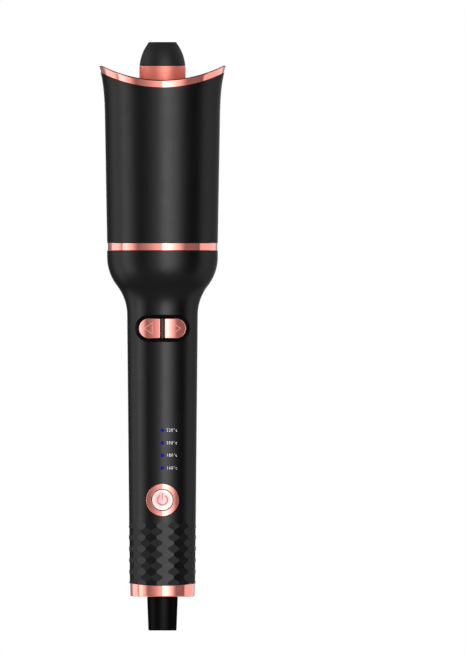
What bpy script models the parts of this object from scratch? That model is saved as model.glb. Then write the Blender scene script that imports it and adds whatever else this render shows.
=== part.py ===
# Automatic hair curler: a heated barrel turns inside a slotted, flared chamber on a round handle.
# Sizes are named in millimetres and the meshes are in metres. +Z runs from the cord sleeve to the tip,
# the buttons face -Y and the slot for the hair faces +Y. The origin is the middle of the sleeve's end.
import math

import bmesh
import bpy

MM = 0.001

# Fits
FIT_GAP = 0.3             # between two pieces that sit on or in each other
RUN_GAP = 0.4             # between pieces that turn or slide past each other
SEAM = 0.3                # visible joint line between two outer pieces

# Facets round each kind of turned piece
GRIP_COLUMNS = 18
WALL_FACETS = 2 * GRIP_COLUMNS    # handle, rings and head, so that their flats line up
BARREL_FACETS = 28
INNER_FACETS = 24
SMALL_FACETS = 12
FACE_FACETS = 54          # the round wall that the controls' faces follow

# Cord sleeve and its swivel
SLEEVE_LENGTH = 18.3
SLEEVE_TOP_R = 8.45
SLEEVE_TAPER = 0.7
SLEEVE_EDGE = 0.6
CORD_R = 3.6
NECK_R = 6.5
FLANGE_R = 10.0
FLANGE_THICK = 2.0

# Tail ring
TAIL_FLOOR = 3.3          # thickness of the ring's floor
TAIL_STEP = 0.25          # how far the ring's top lies inside the handle's end
TAIL_TAPER = 0.2
TAIL_WALL = 4.3
TAIL_HEIGHT = 6.0         # at the front and back, where the seam is lowest
SEAM_ARC = 132.0          # radius of the dished seam between ring and handle
HOUSING_HEIGHT = 12.0

# Handle
HANDLE_END_R = 18.05
HANDLE_NECK_R = 19.45
HANDLE_TOP_R = 30.35
HANDLE_WALL = 2.4
COLLAR_WALL = 4.05
HANDLE_STRAIGHT = 148.6   # from the tail ring up to the shoulder
SHOULDER_LENGTH = 32.5
SHOULDER_STEPS = 6
COLLAR_HEIGHT = 2.8       # straight stretch above the shoulder

# Faceted grip
GRIP_ROWS = 13
GRIP_ROW = 3.15           # height from one row to the next
GRIP_HEIGHT = 37.4        # from the handle's end to the top of the facets
GRIP_SLANT = 2.0          # rise of a facet's slanted edge
GRIP_SINK = 0.1           # how far a facet's middle lies under the round surface
GRIP_BLEND = 2.7          # where the facets have run out

# Head
ACCENT_HEIGHT = 4.0
ACCENT_SINK = 0.05        # how far the ring lies inside the handle's collar
ACCENT_EDGE = 0.4
HEAD_STEP = 0.15          # how far the head's foot stands out beyond the collar
HEAD_TAPER = 1.7          # how much wider the straight wall gets from bottom to top
HEAD_FLARE = 2.6          # how far the rim turns out beyond that
FLARE_LENGTH = 20.5
FLARE_STEPS = 3
WALL_OVER = 2.0           # how far the wall is made past the tips before the saddle cuts it
HEAD_HEIGHT = 97.6        # from the accent ring to the rim's two tips
SHELL_WALL = 2.2
LINER_WALL = 1.5
RIM_ARC = 74.5            # radius of the round saddle that cuts the rim
RIM_DIP = 8.2             # how far the saddle's lowest point lies under the tips
RIM_TRIM = 4.0            # height of the rose-gold band along the rim

# Slot for the hair
SLOT_LOW_HALF = 12.95     # half width at the round bottom, to the outside of the trim
SLOT_HIGH_HALF = 15.5     # half width under the mouth
SLOT_RISE = 23.9          # from the head's foot to the centre of the round bottom
SLOT_TRIM = 3.3
MOUTH_FILLET = 9.5
SLOT_CURVE = 1.8          # how late the sides spread
SLOT_STEPS = 6            # along each side and each fillet
MOUTH_OVER = 0.15         # how far the slot's cutter rises past the rim, so that the cuts cross

# Chamber floor
FLOOR_THICK = 4.4
FLOOR_RISE = 8.6          # from the head's lower edge to the floor's top
SPIGOT_WALL = 2.2
FLOOR_EDGE = 3.0

# Barrel, cap and heater
BARREL_R = 12.7
BARREL_WALL = 1.1
BARREL_SINK = 0.7         # how far the tube ends under the rim's tips
CAP_STEP = 0.1
CAP_TAPER = 5.0
CAP_HEIGHT = 13.1
CAP_EDGE = 0.8
CAP_ARC = 24.25
CAP_WALL = 1.6
CAP_PLUG = 7.0
HUB_FLANGE = 3.0
HUB_PLUG = 8.0
HEATER_ROOM = 2.0         # above the hub and under the cap's plug
PLATE_THICK = 3.2
PLATE_WIDTH = 17.0

# Drive
SHAFT_R = 3.0
SHAFT_BORE = 1.6
SHAFT_INSERT = 7.0        # how far the shaft stands in the hub
COLLAR_R = 4.6
COLLAR_THICK = 1.2
BEARING_R = 7.0
BEARING_HEIGHT = 5.0
LOWER_BEARING_R = 6.0
LOWER_BEARING_HEIGHT = 3.0
SLIP_R = 5.6
SLIP_HEIGHT = 5.0
SLIP_GROOVE = 0.8
GEAR_HEIGHT = 6.2
GEAR_MODULE = 0.8
GEAR_TEETH = 24
PINION_TEETH = 11
BACKLASH = 0.25
PRESSURE_ANGLE = math.radians(20)
ADDENDUM = 0.8
DEDENDUM = 1.05
GEAR_ROOM = 1.5           # from the gears down to their plate
GEAR_PLATE_THICK = 4.5
PINION_SHAFT_R = 1.5
GEARBOX_R = 10.4
GEARBOX_HEIGHT = 9.7
MOTOR_R = 9.0
MOTOR_LENGTH = 42.0
MOTOR_ROOM = 1.05         # between the motor's back and the handle's bore
CRADLE_THICK = 2.0
CRADLE_RISES = (5.0, 29.0)        # above the motor's lower end

# Brushes that feed the slip ring
BRUSH_POST_WIDTH = 8.0
BRUSH_POST_DEPTH = 4.0
BRUSH_OUT = 12.2
BRUSH_WIDTH = 3.0

# Controls at the front
DIRECTION_DROP = 7.3      # from the shoulder down to the middle of the two buttons
PILL_LENGTH = 26.5
PILL_HEIGHT = 10.9
PILL_FRAME = 1.4          # width of the dark frame round the two buttons
FRAME_SINK = 0.5
DIVIDER_WIDTH = 1.9
DIVIDER_PROUD = 0.1
BUTTON_PROUD = 0.05
LIP_WIDTH = 0.8
LIP_DEPTH = 0.8
BUTTON_STEM = 2.4         # its corners fit in the switch's well
SWITCH_OUT = 5.4          # how far left and right the two switches lie
POWER_RISE = 9.5          # from the top of the facets to the middle of the power button
POWER_BEZEL_R = 9.1
POWER_BUTTON_R = 5.75
BEZEL_PROUD = 0.25
POWER_PROUD = 0.4
BEZEL_SINK = 3.45         # how far the bezel's back lies inside the handle's end
LAMP_R = 0.95
LAMP_RISES = (17.6, 24.6, 31.4, 38.4)     # above the power button
LAMP_NAMES = ("lamp_160", "lamp_180", "lamp_200", "lamp_220")

# Circuit board and switches
POWER_DEPTH = 8.65        # from the handle's surface to the board, behind the power button
DIRECTION_DEPTH = 10.05   # the same behind the direction buttons
BOARD_THICK = 1.6
BOARD_WIDTH = 19.0
BOARD_OVER = 8.0          # how far the board reaches past the outer switches' middles
SWITCH_SIDE = 6.0
SWITCH_HEIGHT = 2.2
SWITCH_FLOOR = 0.5
PLUNGER_R = 1.5
PLUNGER_LENGTH = 1.0
STANDOFF_R = 1.8
STANDOFF_OUT = 7.0
STANDOFF_IN = 15.0        # from the outer switches' middles

# Case screws
SCREW_HEAD_R = 2.1
SCREW_HEAD_HEIGHT = 1.5
SCREW_R = 1.2
SCREW_REACH = 8.0         # how far a screw goes past the seam
PILOT_OVER = 1.0
DRIVE_REACH = 1.26        # half length and half width of the cross in the head
DRIVE_HALF = 0.34
BOSS_R = 3.0
WELL_DEPTH = 2.2
UPPER_SCREW_OUT = 16.2
UPPER_SCREW_DROP = 4.8    # under the gear plate
GRIP_SCREW_RISE = 21.85   # from the handle's end

# Radii that follow from the sizes above
SLEEVE_END_R = SLEEVE_TOP_R - SLEEVE_TAPER
TAIL_TOP_R = HANDLE_END_R - TAIL_STEP
TAIL_END_R = TAIL_TOP_R - TAIL_TAPER
ACCENT_R = HANDLE_TOP_R - ACCENT_SINK
HEAD_BASE_R = HANDLE_TOP_R + HEAD_STEP
BORE_TOP_R = HANDLE_TOP_R - COLLAR_WALL
SPIGOT_R = BORE_TOP_R - FIT_GAP
CAP_BASE_R = BARREL_R - CAP_STEP
CAP_TOP_R = CAP_BASE_R - CAP_TAPER
PLUG_R = BARREL_R - BARREL_WALL - FIT_GAP

# Levels that follow from the sizes above
SLEEVE_TOP = SLEEVE_LENGTH
TAIL_BOTTOM = SLEEVE_TOP + SEAM
TAIL_SEAM = TAIL_BOTTOM + TAIL_HEIGHT
HANDLE_BOTTOM = TAIL_SEAM + SEAM
GRIP_TOP = HANDLE_BOTTOM + GRIP_HEIGHT
GRIP_SCREW_Z = HANDLE_BOTTOM + GRIP_SCREW_RISE
POWER_Z = GRIP_TOP + POWER_RISE
SHOULDER_BOTTOM = HANDLE_BOTTOM + HANDLE_STRAIGHT
DIRECTION_Z = SHOULDER_BOTTOM - DIRECTION_DROP
SHOULDER_TOP = SHOULDER_BOTTOM + SHOULDER_LENGTH
HANDLE_TOP = SHOULDER_TOP + COLLAR_HEIGHT
ACCENT_BOTTOM = HANDLE_TOP + SEAM
ACCENT_TOP = ACCENT_BOTTOM + ACCENT_HEIGHT
HEAD_BOTTOM = ACCENT_TOP + SEAM
HEAD_TOP = HEAD_BOTTOM + HEAD_HEIGHT
RIM_LOW = HEAD_TOP - RIM_DIP
SLOT_BOTTOM = HEAD_BOTTOM + SLOT_RISE
FLOOR_TOP = HEAD_BOTTOM + FLOOR_RISE
HUB_BOTTOM = FLOOR_TOP + RUN_GAP
HUB_TOP = HUB_BOTTOM + HUB_FLANGE + HUB_PLUG
BARREL_BOTTOM = HUB_BOTTOM + HUB_FLANGE + FIT_GAP
BARREL_TOP = HEAD_TOP - BARREL_SINK
CAP_BOTTOM = BARREL_TOP + FIT_GAP
CAP_TOP = CAP_BOTTOM + CAP_HEIGHT
HEATER_BOTTOM = HUB_TOP + HEATER_ROOM
HEATER_TOP = CAP_BOTTOM - CAP_PLUG - HEATER_ROOM
BEARING_TOP = FLOOR_TOP - FLOOR_THICK - FIT_GAP
BEARING_BOTTOM = BEARING_TOP - BEARING_HEIGHT
COLLAR_TOP = BEARING_BOTTOM - FIT_GAP
SLIP_TOP = COLLAR_TOP - COLLAR_THICK - FIT_GAP
SLIP_BOTTOM = SLIP_TOP - SLIP_HEIGHT
GEAR_TOP = SLIP_BOTTOM - FIT_GAP
GEAR_BOTTOM = GEAR_TOP - GEAR_HEIGHT
GEAR_PLATE_TOP = GEAR_BOTTOM - GEAR_ROOM
GEAR_PLATE_BOTTOM = GEAR_PLATE_TOP - GEAR_PLATE_THICK
UPPER_SCREW_Z = GEAR_PLATE_BOTTOM - UPPER_SCREW_DROP
LOWER_BEARING_TOP = GEAR_PLATE_TOP
LOWER_BEARING_BOTTOM = LOWER_BEARING_TOP - LOWER_BEARING_HEIGHT
GEARBOX_TOP = GEAR_PLATE_BOTTOM - FIT_GAP
GEARBOX_BOTTOM = GEARBOX_TOP - GEARBOX_HEIGHT
MOTOR_BOTTOM = GEARBOX_BOTTOM - MOTOR_LENGTH

# Places across the handle that follow from the sizes above
GEAR_DISTANCE = GEAR_MODULE * (GEAR_TEETH + PINION_TEETH) / 2
MOTOR_BACK = HANDLE_NECK_R - HANDLE_WALL - MOTOR_ROOM - MOTOR_R
FRAME_LENGTH = PILL_LENGTH + 2 * PILL_FRAME
FRAME_HEIGHT = PILL_HEIGHT + 2 * PILL_FRAME
BEZEL_BACK = HANDLE_END_R - BEZEL_SINK
BOARD_FRONT = min(HANDLE_END_R - POWER_DEPTH, HANDLE_NECK_R - DIRECTION_DEPTH)
SWITCH_BACK = -BOARD_FRONT - FIT_GAP
SWITCH_FRONT = SWITCH_BACK - SWITCH_HEIGHT
PLUNGER_FRONT = SWITCH_FRONT - FIT_GAP
STEM_BACK = PLUNGER_FRONT - FIT_GAP
PAST = 5.0                # how far a cutter reaches past what it cuts


# ---- shapes of the outline -------------------------------------------------------------------

def shoulder(z, low_r, high_r):
    # two equal arcs that meet halfway up the shoulder
    rise = high_r - low_r
    arc = SHOULDER_LENGTH / 2 / math.sin(2 * math.atan(rise / SHOULDER_LENGTH))
    if z < SHOULDER_BOTTOM + SHOULDER_LENGTH / 2:
        return low_r + arc - math.sqrt(arc ** 2 - (z - SHOULDER_BOTTOM) ** 2)
    return high_r - arc + math.sqrt(arc ** 2 - (SHOULDER_TOP - z) ** 2)


def handle_radius(z):
    if z >= SHOULDER_TOP:
        return HANDLE_TOP_R
    if z > SHOULDER_BOTTOM:
        return shoulder(z, HANDLE_NECK_R, HANDLE_TOP_R)
    share = (z - HANDLE_BOTTOM) / (SHOULDER_BOTTOM - HANDLE_BOTTOM)
    return HANDLE_END_R + share * (HANDLE_NECK_R - HANDLE_END_R)


def bore_radius(z):
    if z >= SHOULDER_TOP:
        return BORE_TOP_R
    if z > SHOULDER_BOTTOM:
        return shoulder(z, HANDLE_NECK_R - HANDLE_WALL, BORE_TOP_R)
    return handle_radius(z) - HANDLE_WALL


def head_radius(z):
    wall = HEAD_BASE_R + HEAD_TAPER * (z - HEAD_BOTTOM) / HEAD_HEIGHT
    flare = max(0.0, (z - HEAD_TOP + FLARE_LENGTH) / FLARE_LENGTH)
    return wall + HEAD_FLARE * flare ** 2


def head_levels(bottom):
    top = HEAD_TOP + WALL_OVER
    start = HEAD_TOP - FLARE_LENGTH
    return [bottom] + [start + (top - start) * i / FLARE_STEPS for i in range(FLARE_STEPS + 1)]


def head_wall(bottom, outer, inner):
    # closed wall profile between two depths under the head's outer surface
    levels = head_levels(bottom)
    outside = [(head_radius(z) - outer, z) for z in reversed(levels)]
    inside = [(head_radius(z) - inner, z) for z in levels]
    return outside + inside


def arc_points(centre, radius, start, end, steps):
    turn = (end - start) / steps
    return [(centre[0] + radius * math.cos(start + turn * i),
             centre[1] + radius * math.sin(start + turn * i)) for i in range(steps + 1)]


def circle(x, z, radius, steps):
    # no corner stands right above or beside the middle
    first = math.pi / steps
    return arc_points((x, z), radius, first, first + 2 * math.pi, steps)[:-1]


def rectangle(x0, x1, z0, z1):
    return [(x0, z0), (x1, z0), (x1, z1), (x0, z1)]


def pill(x, z, length, height, steps=7):
    out = (length - height) / 2
    right = arc_points((x + out, z), height / 2, -math.pi / 2, math.pi / 2, steps)
    left = arc_points((x - out, z), height / 2, math.pi / 2, 3 * math.pi / 2, steps)
    return right + left


def dish(low, arc, half, steps=13):
    # a wide round dish, lowest in the middle; an odd number of steps leaves no corner there
    return [(x, low + arc - math.sqrt(arc ** 2 - x ** 2))
            for x in (half * (2 * i / steps - 1) for i in range(steps + 1))]


def slot_outline(inset, rim):
    # a round-bottomed slot whose sides spread towards a filleted mouth; the fillets meet the saddle
    # whose lowest point is at the rim's level, so their centres lie at the sum of the two radii from
    # the saddle's own centre
    fillet = MOUTH_FILLET + inset
    out = SLOT_HIGH_HALF + MOUTH_FILLET
    reach = RIM_ARC + fillet
    middle = rim + RIM_ARC - math.sqrt(reach ** 2 - out ** 2)
    spread = SLOT_CURVE * (SLOT_HIGH_HALF - SLOT_LOW_HALF) / (middle - SLOT_BOTTOM)
    lean = math.atan(spread)
    meet = math.asin(out / reach)
    low = SLOT_LOW_HALF - inset
    mouth = arc_points((out, middle), fillet, math.pi - lean, math.pi / 2 + meet, SLOT_STEPS)
    side = []
    for i in range(1, SLOT_STEPS):
        share = i / SLOT_STEPS
        z = SLOT_BOTTOM + share * (mouth[0][1] - SLOT_BOTTOM)
        side.append((low + share ** SLOT_CURVE * (mouth[0][0] - low), z))
    last_x, last_z = mouth.pop()
    right = side + mouth + [(last_x, last_z + MOUTH_OVER), (last_x, HEAD_TOP + 2 * PAST)]
    left = [(-x, z) for x, z in reversed(right)]
    bottom = arc_points((0, SLOT_BOTTOM), low, -math.pi, 0, 2 * SLOT_STEPS - 1)
    return bottom + right + left


def gear_outline(teeth, first):
    # involute teeth; first is the angle of the first tooth's middle
    pitch = GEAR_MODULE * teeth / 2
    base = pitch * math.cos(PRESSURE_ANGLE)
    radii = (pitch - DEDENDUM * GEAR_MODULE, pitch, pitch + ADDENDUM * GEAR_MODULE)
    half = math.pi / (2 * teeth) - BACKLASH / 4 / pitch

    def flank(radius):
        lean = math.acos(min(1.0, base / radius))
        return half + math.tan(PRESSURE_ANGLE) - PRESSURE_ANGLE - math.tan(lean) + lean

    points = []
    for tooth in range(teeth):
        middle = first + 2 * math.pi * tooth / teeth
        rising = [(r, middle - flank(r)) for r in radii]
        falling = [(r, middle + flank(r)) for r in reversed(radii)]
        points += [(r * math.cos(a), r * math.sin(a)) for r, a in rising + falling]
    return points


# ---- Blender helpers -------------------------------------------------------------------------

def finish(name, bm, material):
    bmesh.ops.recalc_face_normals(bm, faces=bm.faces)
    mesh = bpy.data.meshes.new(name)
    bm.to_mesh(mesh)
    bm.free()
    mesh.shade_smooth()
    mesh.set_sharp_from_angle(angle=math.radians(30))
    obj = bpy.data.objects.new(name, mesh)
    bpy.context.scene.collection.objects.link(obj)
    if material:
        mesh.materials.append(material)
    return obj


def turned(name, profile, facets, material=None, at=(0, 0), height=None):
    # a closed profile of radius and level, spun round a vertical axis
    bm = bmesh.new()
    corners = [bm.verts.new(((at[0] + r) * MM, at[1] * MM, z * MM)) for r, z in profile]
    edges = [bm.edges.new((a, b)) for a, b in zip(corners, corners[1:] + corners[:1])]
    on_axis = [e for e in edges if all(abs(v.co.x - at[0] * MM) < 1e-9 for v in e.verts)]
    for edge in on_axis:
        edges.remove(edge)
        bm.edges.remove(edge)
    bmesh.ops.spin(bm, geom=corners + edges, cent=(at[0] * MM, at[1] * MM, 0), axis=(0, 0, 1),
                   angle=2 * math.pi, steps=facets, use_merge=True)
    bmesh.ops.remove_doubles(bm, verts=bm.verts, dist=1e-7)
    return finish(name, bm, material)


def prism(name, outline, start, end, to_space, material=None):
    bm = bmesh.new()
    near = [bm.verts.new([c * MM for c in to_space(u, v, start)]) for u, v in outline]
    face = bm.faces.new(near)
    grown = bmesh.ops.extrude_face_region(bm, geom=[face])
    shift = [(b - a) * MM for a, b in zip(to_space(0, 0, start), to_space(0, 0, end))]
    moved = [v for v in grown["geom"] if isinstance(v, bmesh.types.BMVert)]
    bmesh.ops.translate(bm, verts=moved, vec=shift)
    return finish(name, bm, material)


def along_y(name, outline, y0, y1, material=None):
    return prism(name, outline, y0, y1, lambda u, v, w: (u, w, v), material)


def along_z(name, outline, z0, z1, material=None):
    return prism(name, outline, z0, z1, lambda u, v, w: (u, v, w), material)


def combine(obj, tool, operation):
    # the tool stays in the file as a wire guide, and the modifier stays on the piece
    tool.hide_render = True
    tool.display_type = "WIRE"
    modifier = obj.modifiers.new(operation.lower(), "BOOLEAN")
    modifier.operation = operation
    modifier.solver = "EXACT"
    modifier.object = tool
    return obj


def cut(obj, *tools):
    for tool in tools:
        combine(obj, tool, "DIFFERENCE")
    return obj


def join(obj, *tools):
    for tool in tools:
        combine(obj, tool, "UNION")
    return obj


def keep_inside(obj, *tools):
    for tool in tools:
        combine(obj, tool, "INTERSECT")
    return obj


def paint(name, colour, roughness, metallic=0.0):
    material = bpy.data.materials.new(name)
    material.use_nodes = True
    shader = material.node_tree.nodes["Principled BSDF"]
    shader.inputs["Base Color"].default_value = (*colour, 1.0)
    shader.inputs["Roughness"].default_value = roughness
    shader.inputs["Metallic"].default_value = metallic
    return material


def joint_axis(name, x, y, z):
    empty = bpy.data.objects.new(name, None)
    empty.location = (x * MM, y * MM, z * MM)
    bpy.context.scene.collection.objects.link(empty)
    return empty


def carry(axis, *pieces):
    bpy.context.view_layer.update()
    for piece in pieces:
        piece.parent = axis
        piece.matrix_parent_inverse = axis.matrix_world.inverted()


# ---- head ------------------------------------------------------------------------------------

def rim_cutter(name, low):
    half = HEAD_BASE_R + HEAD_TAPER + HEAD_FLARE + PAST
    top = HEAD_TOP + 2 * PAST
    outline = dish(low, RIM_ARC, half) + [(half, top), (-half, top)]
    return along_y(name, outline, -half, half)


def slot_cutter(name, inset, rim):
    return along_y(name, slot_outline(inset, rim), 0, HEAD_TOP)


def make_head_shell(material):
    profile = head_wall(HEAD_BOTTOM, 0, SHELL_WALL)
    shell = turned("head_shell", profile, WALL_FACETS, material)
    rim = RIM_LOW - RIM_TRIM
    return cut(shell, rim_cutter("shell_rim_cut", rim), slot_cutter("shell_slot_cut", 0, rim))


def make_liner(material):
    # the whole wall, less the space that the black shell fills, leaves the liner and its trim band
    bottom = FLOOR_TOP + FIT_GAP
    deep = SHELL_WALL + FIT_GAP
    liner = turned("chamber_liner", head_wall(bottom, 0, deep + LINER_WALL), WALL_FACETS, material)
    shell_space = turned("shell_space", head_wall(bottom - PAST, -PAST, deep), WALL_FACETS)
    rim = RIM_LOW - RIM_TRIM + SEAM
    cut(shell_space, rim_cutter("space_rim_cut", rim), slot_cutter("space_slot_cut", SEAM, rim))
    return cut(liner, shell_space, rim_cutter("liner_rim_cut", RIM_LOW),
               slot_cutter("liner_slot_cut", SLOT_TRIM, RIM_LOW))


def make_floor(material):
    edge = HEAD_BASE_R - SHELL_WALL - FIT_GAP
    seat = BEARING_R + FIT_GAP
    spigot_bottom = SHOULDER_TOP + FIT_GAP
    profile = [
        (SHAFT_R + RUN_GAP, FLOOR_TOP), (edge, FLOOR_TOP), (edge, FLOOR_TOP - FLOOR_EDGE),
        (SPIGOT_R, FLOOR_TOP - FLOOR_EDGE), (SPIGOT_R, spigot_bottom),
        (SPIGOT_R - SPIGOT_WALL, spigot_bottom),
        (SPIGOT_R - SPIGOT_WALL, FLOOR_TOP - FLOOR_EDGE), (seat + SPIGOT_WALL, FLOOR_TOP - FLOOR_EDGE),
        (seat + SPIGOT_WALL, BEARING_BOTTOM), (seat, BEARING_BOTTOM),
        (seat, FLOOR_TOP - FLOOR_THICK), (SHAFT_R + RUN_GAP, FLOOR_TOP - FLOOR_THICK)]
    return turned("chamber_floor", profile, INNER_FACETS, material)


def make_accent_ring(material):
    profile = [
        (ACCENT_R - ACCENT_EDGE, ACCENT_TOP), (ACCENT_R, ACCENT_TOP - ACCENT_EDGE),
        (ACCENT_R, ACCENT_BOTTOM + ACCENT_EDGE), (ACCENT_R - ACCENT_EDGE, ACCENT_BOTTOM),
        (BORE_TOP_R, ACCENT_BOTTOM), (BORE_TOP_R, ACCENT_TOP)]
    return turned("accent_ring", profile, WALL_FACETS, material)


# ---- barrel and drive ------------------------------------------------------------------------

def tube(name, outer, inner, bottom, top, facets, material):
    profile = [(outer, top), (outer, bottom), (inner, bottom), (inner, top)]
    return turned(name, profile, facets, material)


def make_barrel(material):
    return tube("barrel", BARREL_R, BARREL_R - BARREL_WALL, BARREL_BOTTOM, BARREL_TOP,
                BARREL_FACETS, material)


def cap_curve(base_r, top_r, height, steps):
    # the arc of the cap's side, from its top edge down to its base
    chord = math.hypot(base_r - top_r, height)
    slope = math.atan2(height, base_r - top_r)
    half = math.asin(chord / 2 / CAP_ARC)
    start = math.pi / 2 - slope + half
    centre = (base_r - CAP_ARC * math.cos(start - 2 * half), -CAP_ARC * math.sin(start - 2 * half))
    return [(x, CAP_BOTTOM + z) for x, z in arc_points(centre, CAP_ARC, start, start - 2 * half, steps)]


def make_cap(material):
    outside = cap_curve(CAP_BASE_R, CAP_TOP_R, CAP_HEIGHT - CAP_EDGE / 2, 5)
    inside = [(r - CAP_WALL - (CAP_BASE_R - PLUG_R), z - CAP_WALL) for r, z in outside[:-1:3]]
    bottom = CAP_BOTTOM - CAP_PLUG
    profile = [(0, CAP_TOP), (CAP_TOP_R - CAP_EDGE, CAP_TOP)] + outside
    profile += [(PLUG_R, CAP_BOTTOM), (PLUG_R, bottom), (PLUG_R - CAP_WALL, bottom)]
    profile += list(reversed(inside)) + [(0, inside[0][1])]
    return turned("barrel_cap", profile, BARREL_FACETS, material)


def make_hub(material):
    profile = [
        (PLUG_R, HUB_TOP), (PLUG_R, HUB_BOTTOM + HUB_FLANGE), (BARREL_R, HUB_BOTTOM + HUB_FLANGE),
        (BARREL_R, HUB_BOTTOM), (SHAFT_R + FIT_GAP, HUB_BOTTOM), (SHAFT_R + FIT_GAP, HUB_TOP)]
    return turned("barrel_hub", profile, BARREL_FACETS, material)


def make_shoe(name, side, material):
    # one of the two half-round blocks that press the ceramic plate and heat the tube
    start = math.asin((PLATE_THICK / 2 + FIT_GAP) / PLUG_R)
    outline = [(x, side * y) for x, y in arc_points((0, 0), PLUG_R, start, math.pi - start, 12)]
    return along_z(name, outline, HEATER_BOTTOM, HEATER_TOP, material)


def make_heater_plate(material):
    outline = rectangle(-PLATE_WIDTH / 2, PLATE_WIDTH / 2, -PLATE_THICK / 2, PLATE_THICK / 2)
    return along_z("heater_plate", outline, HEATER_BOTTOM, HEATER_TOP, material)


def make_shaft(material):
    top = HUB_BOTTOM + SHAFT_INSERT
    bottom = LOWER_BEARING_BOTTOM
    profile = [
        (SHAFT_R, top), (SHAFT_R, COLLAR_TOP), (COLLAR_R, COLLAR_TOP),
        (COLLAR_R, COLLAR_TOP - COLLAR_THICK), (SHAFT_R, COLLAR_TOP - COLLAR_THICK),
        (SHAFT_R, bottom), (SHAFT_BORE, bottom), (SHAFT_BORE, top)]
    return turned("drive_shaft", profile, SMALL_FACETS, material)


def make_bearing(name, radius, bottom, height, material):
    # a shielded ball bearing: both faces are recessed between the two races
    inner = SHAFT_R + FIT_GAP
    race = (radius - inner) / 4
    sunk = height / 10
    top = bottom + height
    profile = [
        (radius, top), (radius, bottom), (radius - race, bottom), (radius - race, bottom + sunk),
        (inner + race, bottom + sunk), (inner + race, bottom), (inner, bottom), (inner, top),
        (inner + race, top), (inner + race, top - sunk), (radius - race, top - sunk),
        (radius - race, top)]
    return turned(name, profile, SMALL_FACETS, material)


def make_slip_ring(material):
    # two conductor tracks with a groove between them
    track = SLIP_HEIGHT * 0.4
    inner = SHAFT_R + FIT_GAP
    sunk = SLIP_R - SLIP_GROOVE
    profile = [
        (SLIP_R, SLIP_TOP), (SLIP_R, SLIP_TOP - track), (sunk, SLIP_TOP - track),
        (sunk, SLIP_BOTTOM + track), (SLIP_R, SLIP_BOTTOM + track),
        (SLIP_R, SLIP_BOTTOM), (inner, SLIP_BOTTOM), (inner, SLIP_TOP)]
    return turned("slip_ring", profile, SMALL_FACETS, material)


def make_barrel_gear(material):
    gear = along_z("barrel_gear", gear_outline(GEAR_TEETH, math.pi / 2), GEAR_BOTTOM, GEAR_TOP, material)
    bore = circle(0, 0, SHAFT_R + FIT_GAP, SMALL_FACETS)
    return cut(gear, along_z("gear_bore", bore, GEAR_BOTTOM - PAST, GEAR_TOP + PAST))


def make_pinion(material):
    first = -math.pi / 2 + math.pi / PINION_TEETH
    outline = [(x, y + GEAR_DISTANCE) for x, y in gear_outline(PINION_TEETH, first)]
    pinion = along_z("motor_pinion", outline, GEAR_BOTTOM, GEAR_TOP, material)
    shaft = circle(0, GEAR_DISTANCE, PINION_SHAFT_R, 12)
    bottom = GEARBOX_BOTTOM + PAST - FIT_GAP
    return join(pinion, along_z("pinion_shaft", shaft, bottom, GEAR_TOP + FIT_GAP))


def make_gear_plate(material):
    radius = bore_radius(GEAR_PLATE_BOTTOM) - 2 * FIT_GAP
    seat = LOWER_BEARING_R + FIT_GAP
    profile = [
        (radius, GEAR_PLATE_TOP), (radius, GEAR_PLATE_BOTTOM), (SHAFT_BORE, GEAR_PLATE_BOTTOM),
        (SHAFT_BORE, LOWER_BEARING_BOTTOM - FIT_GAP), (seat, LOWER_BEARING_BOTTOM - FIT_GAP),
        (seat, GEAR_PLATE_TOP)]
    plate = turned("gear_plate", profile, INNER_FACETS, material)
    hole = circle(0, GEAR_DISTANCE, PINION_SHAFT_R + RUN_GAP, 12)
    return cut(plate, along_z("plate_hole", hole, GEAR_PLATE_BOTTOM - PAST, GEAR_PLATE_TOP + PAST))


def make_gear_motor(material):
    box = along_z("gear_motor", circle(0, MOTOR_BACK, GEARBOX_R, 24), GEARBOX_BOTTOM, GEARBOX_TOP, material)
    can = circle(0, MOTOR_BACK, MOTOR_R, 24)
    join(box, along_z("motor_can", can, MOTOR_BOTTOM, GEARBOX_BOTTOM + FIT_GAP))
    hole = circle(0, GEAR_DISTANCE, PINION_SHAFT_R + RUN_GAP, 12)
    return cut(box, along_z("gearbox_hole", hole, GEARBOX_BOTTOM + PAST - 2 * FIT_GAP, GEARBOX_TOP + PAST))


def make_brush_block(material):
    # a post on the gear plate with one arm that reaches the slip ring over the gear
    half = BRUSH_POST_WIDTH / 2
    post = rectangle(-half, half, -BRUSH_OUT - BRUSH_POST_DEPTH, -BRUSH_OUT)
    block = along_z("brush_block", post, GEAR_PLATE_TOP + FIT_GAP, SLIP_TOP, material)
    arm = rectangle(-BRUSH_WIDTH / 2, BRUSH_WIDTH / 2, -BRUSH_OUT - FIT_GAP, -SLIP_R - FIT_GAP)
    return join(block, along_z("brush_arm", arm, SLIP_BOTTOM + FIT_GAP, SLIP_TOP - FIT_GAP))


# ---- handle ----------------------------------------------------------------------------------

def ring_of(bm, radius, z):
    turns = [2 * math.pi * k / WALL_FACETS - math.pi / 2 for k in range(WALL_FACETS)]
    return [bm.verts.new((radius * MM * math.cos(a), radius * MM * math.sin(a), z * MM)) for a in turns]


def skin(bm, lower, upper):
    count = len(lower)
    for k in range(count):
        after = (k + 1) % count
        bm.faces.new((lower[k], lower[after], upper[after], upper[k]))


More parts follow.
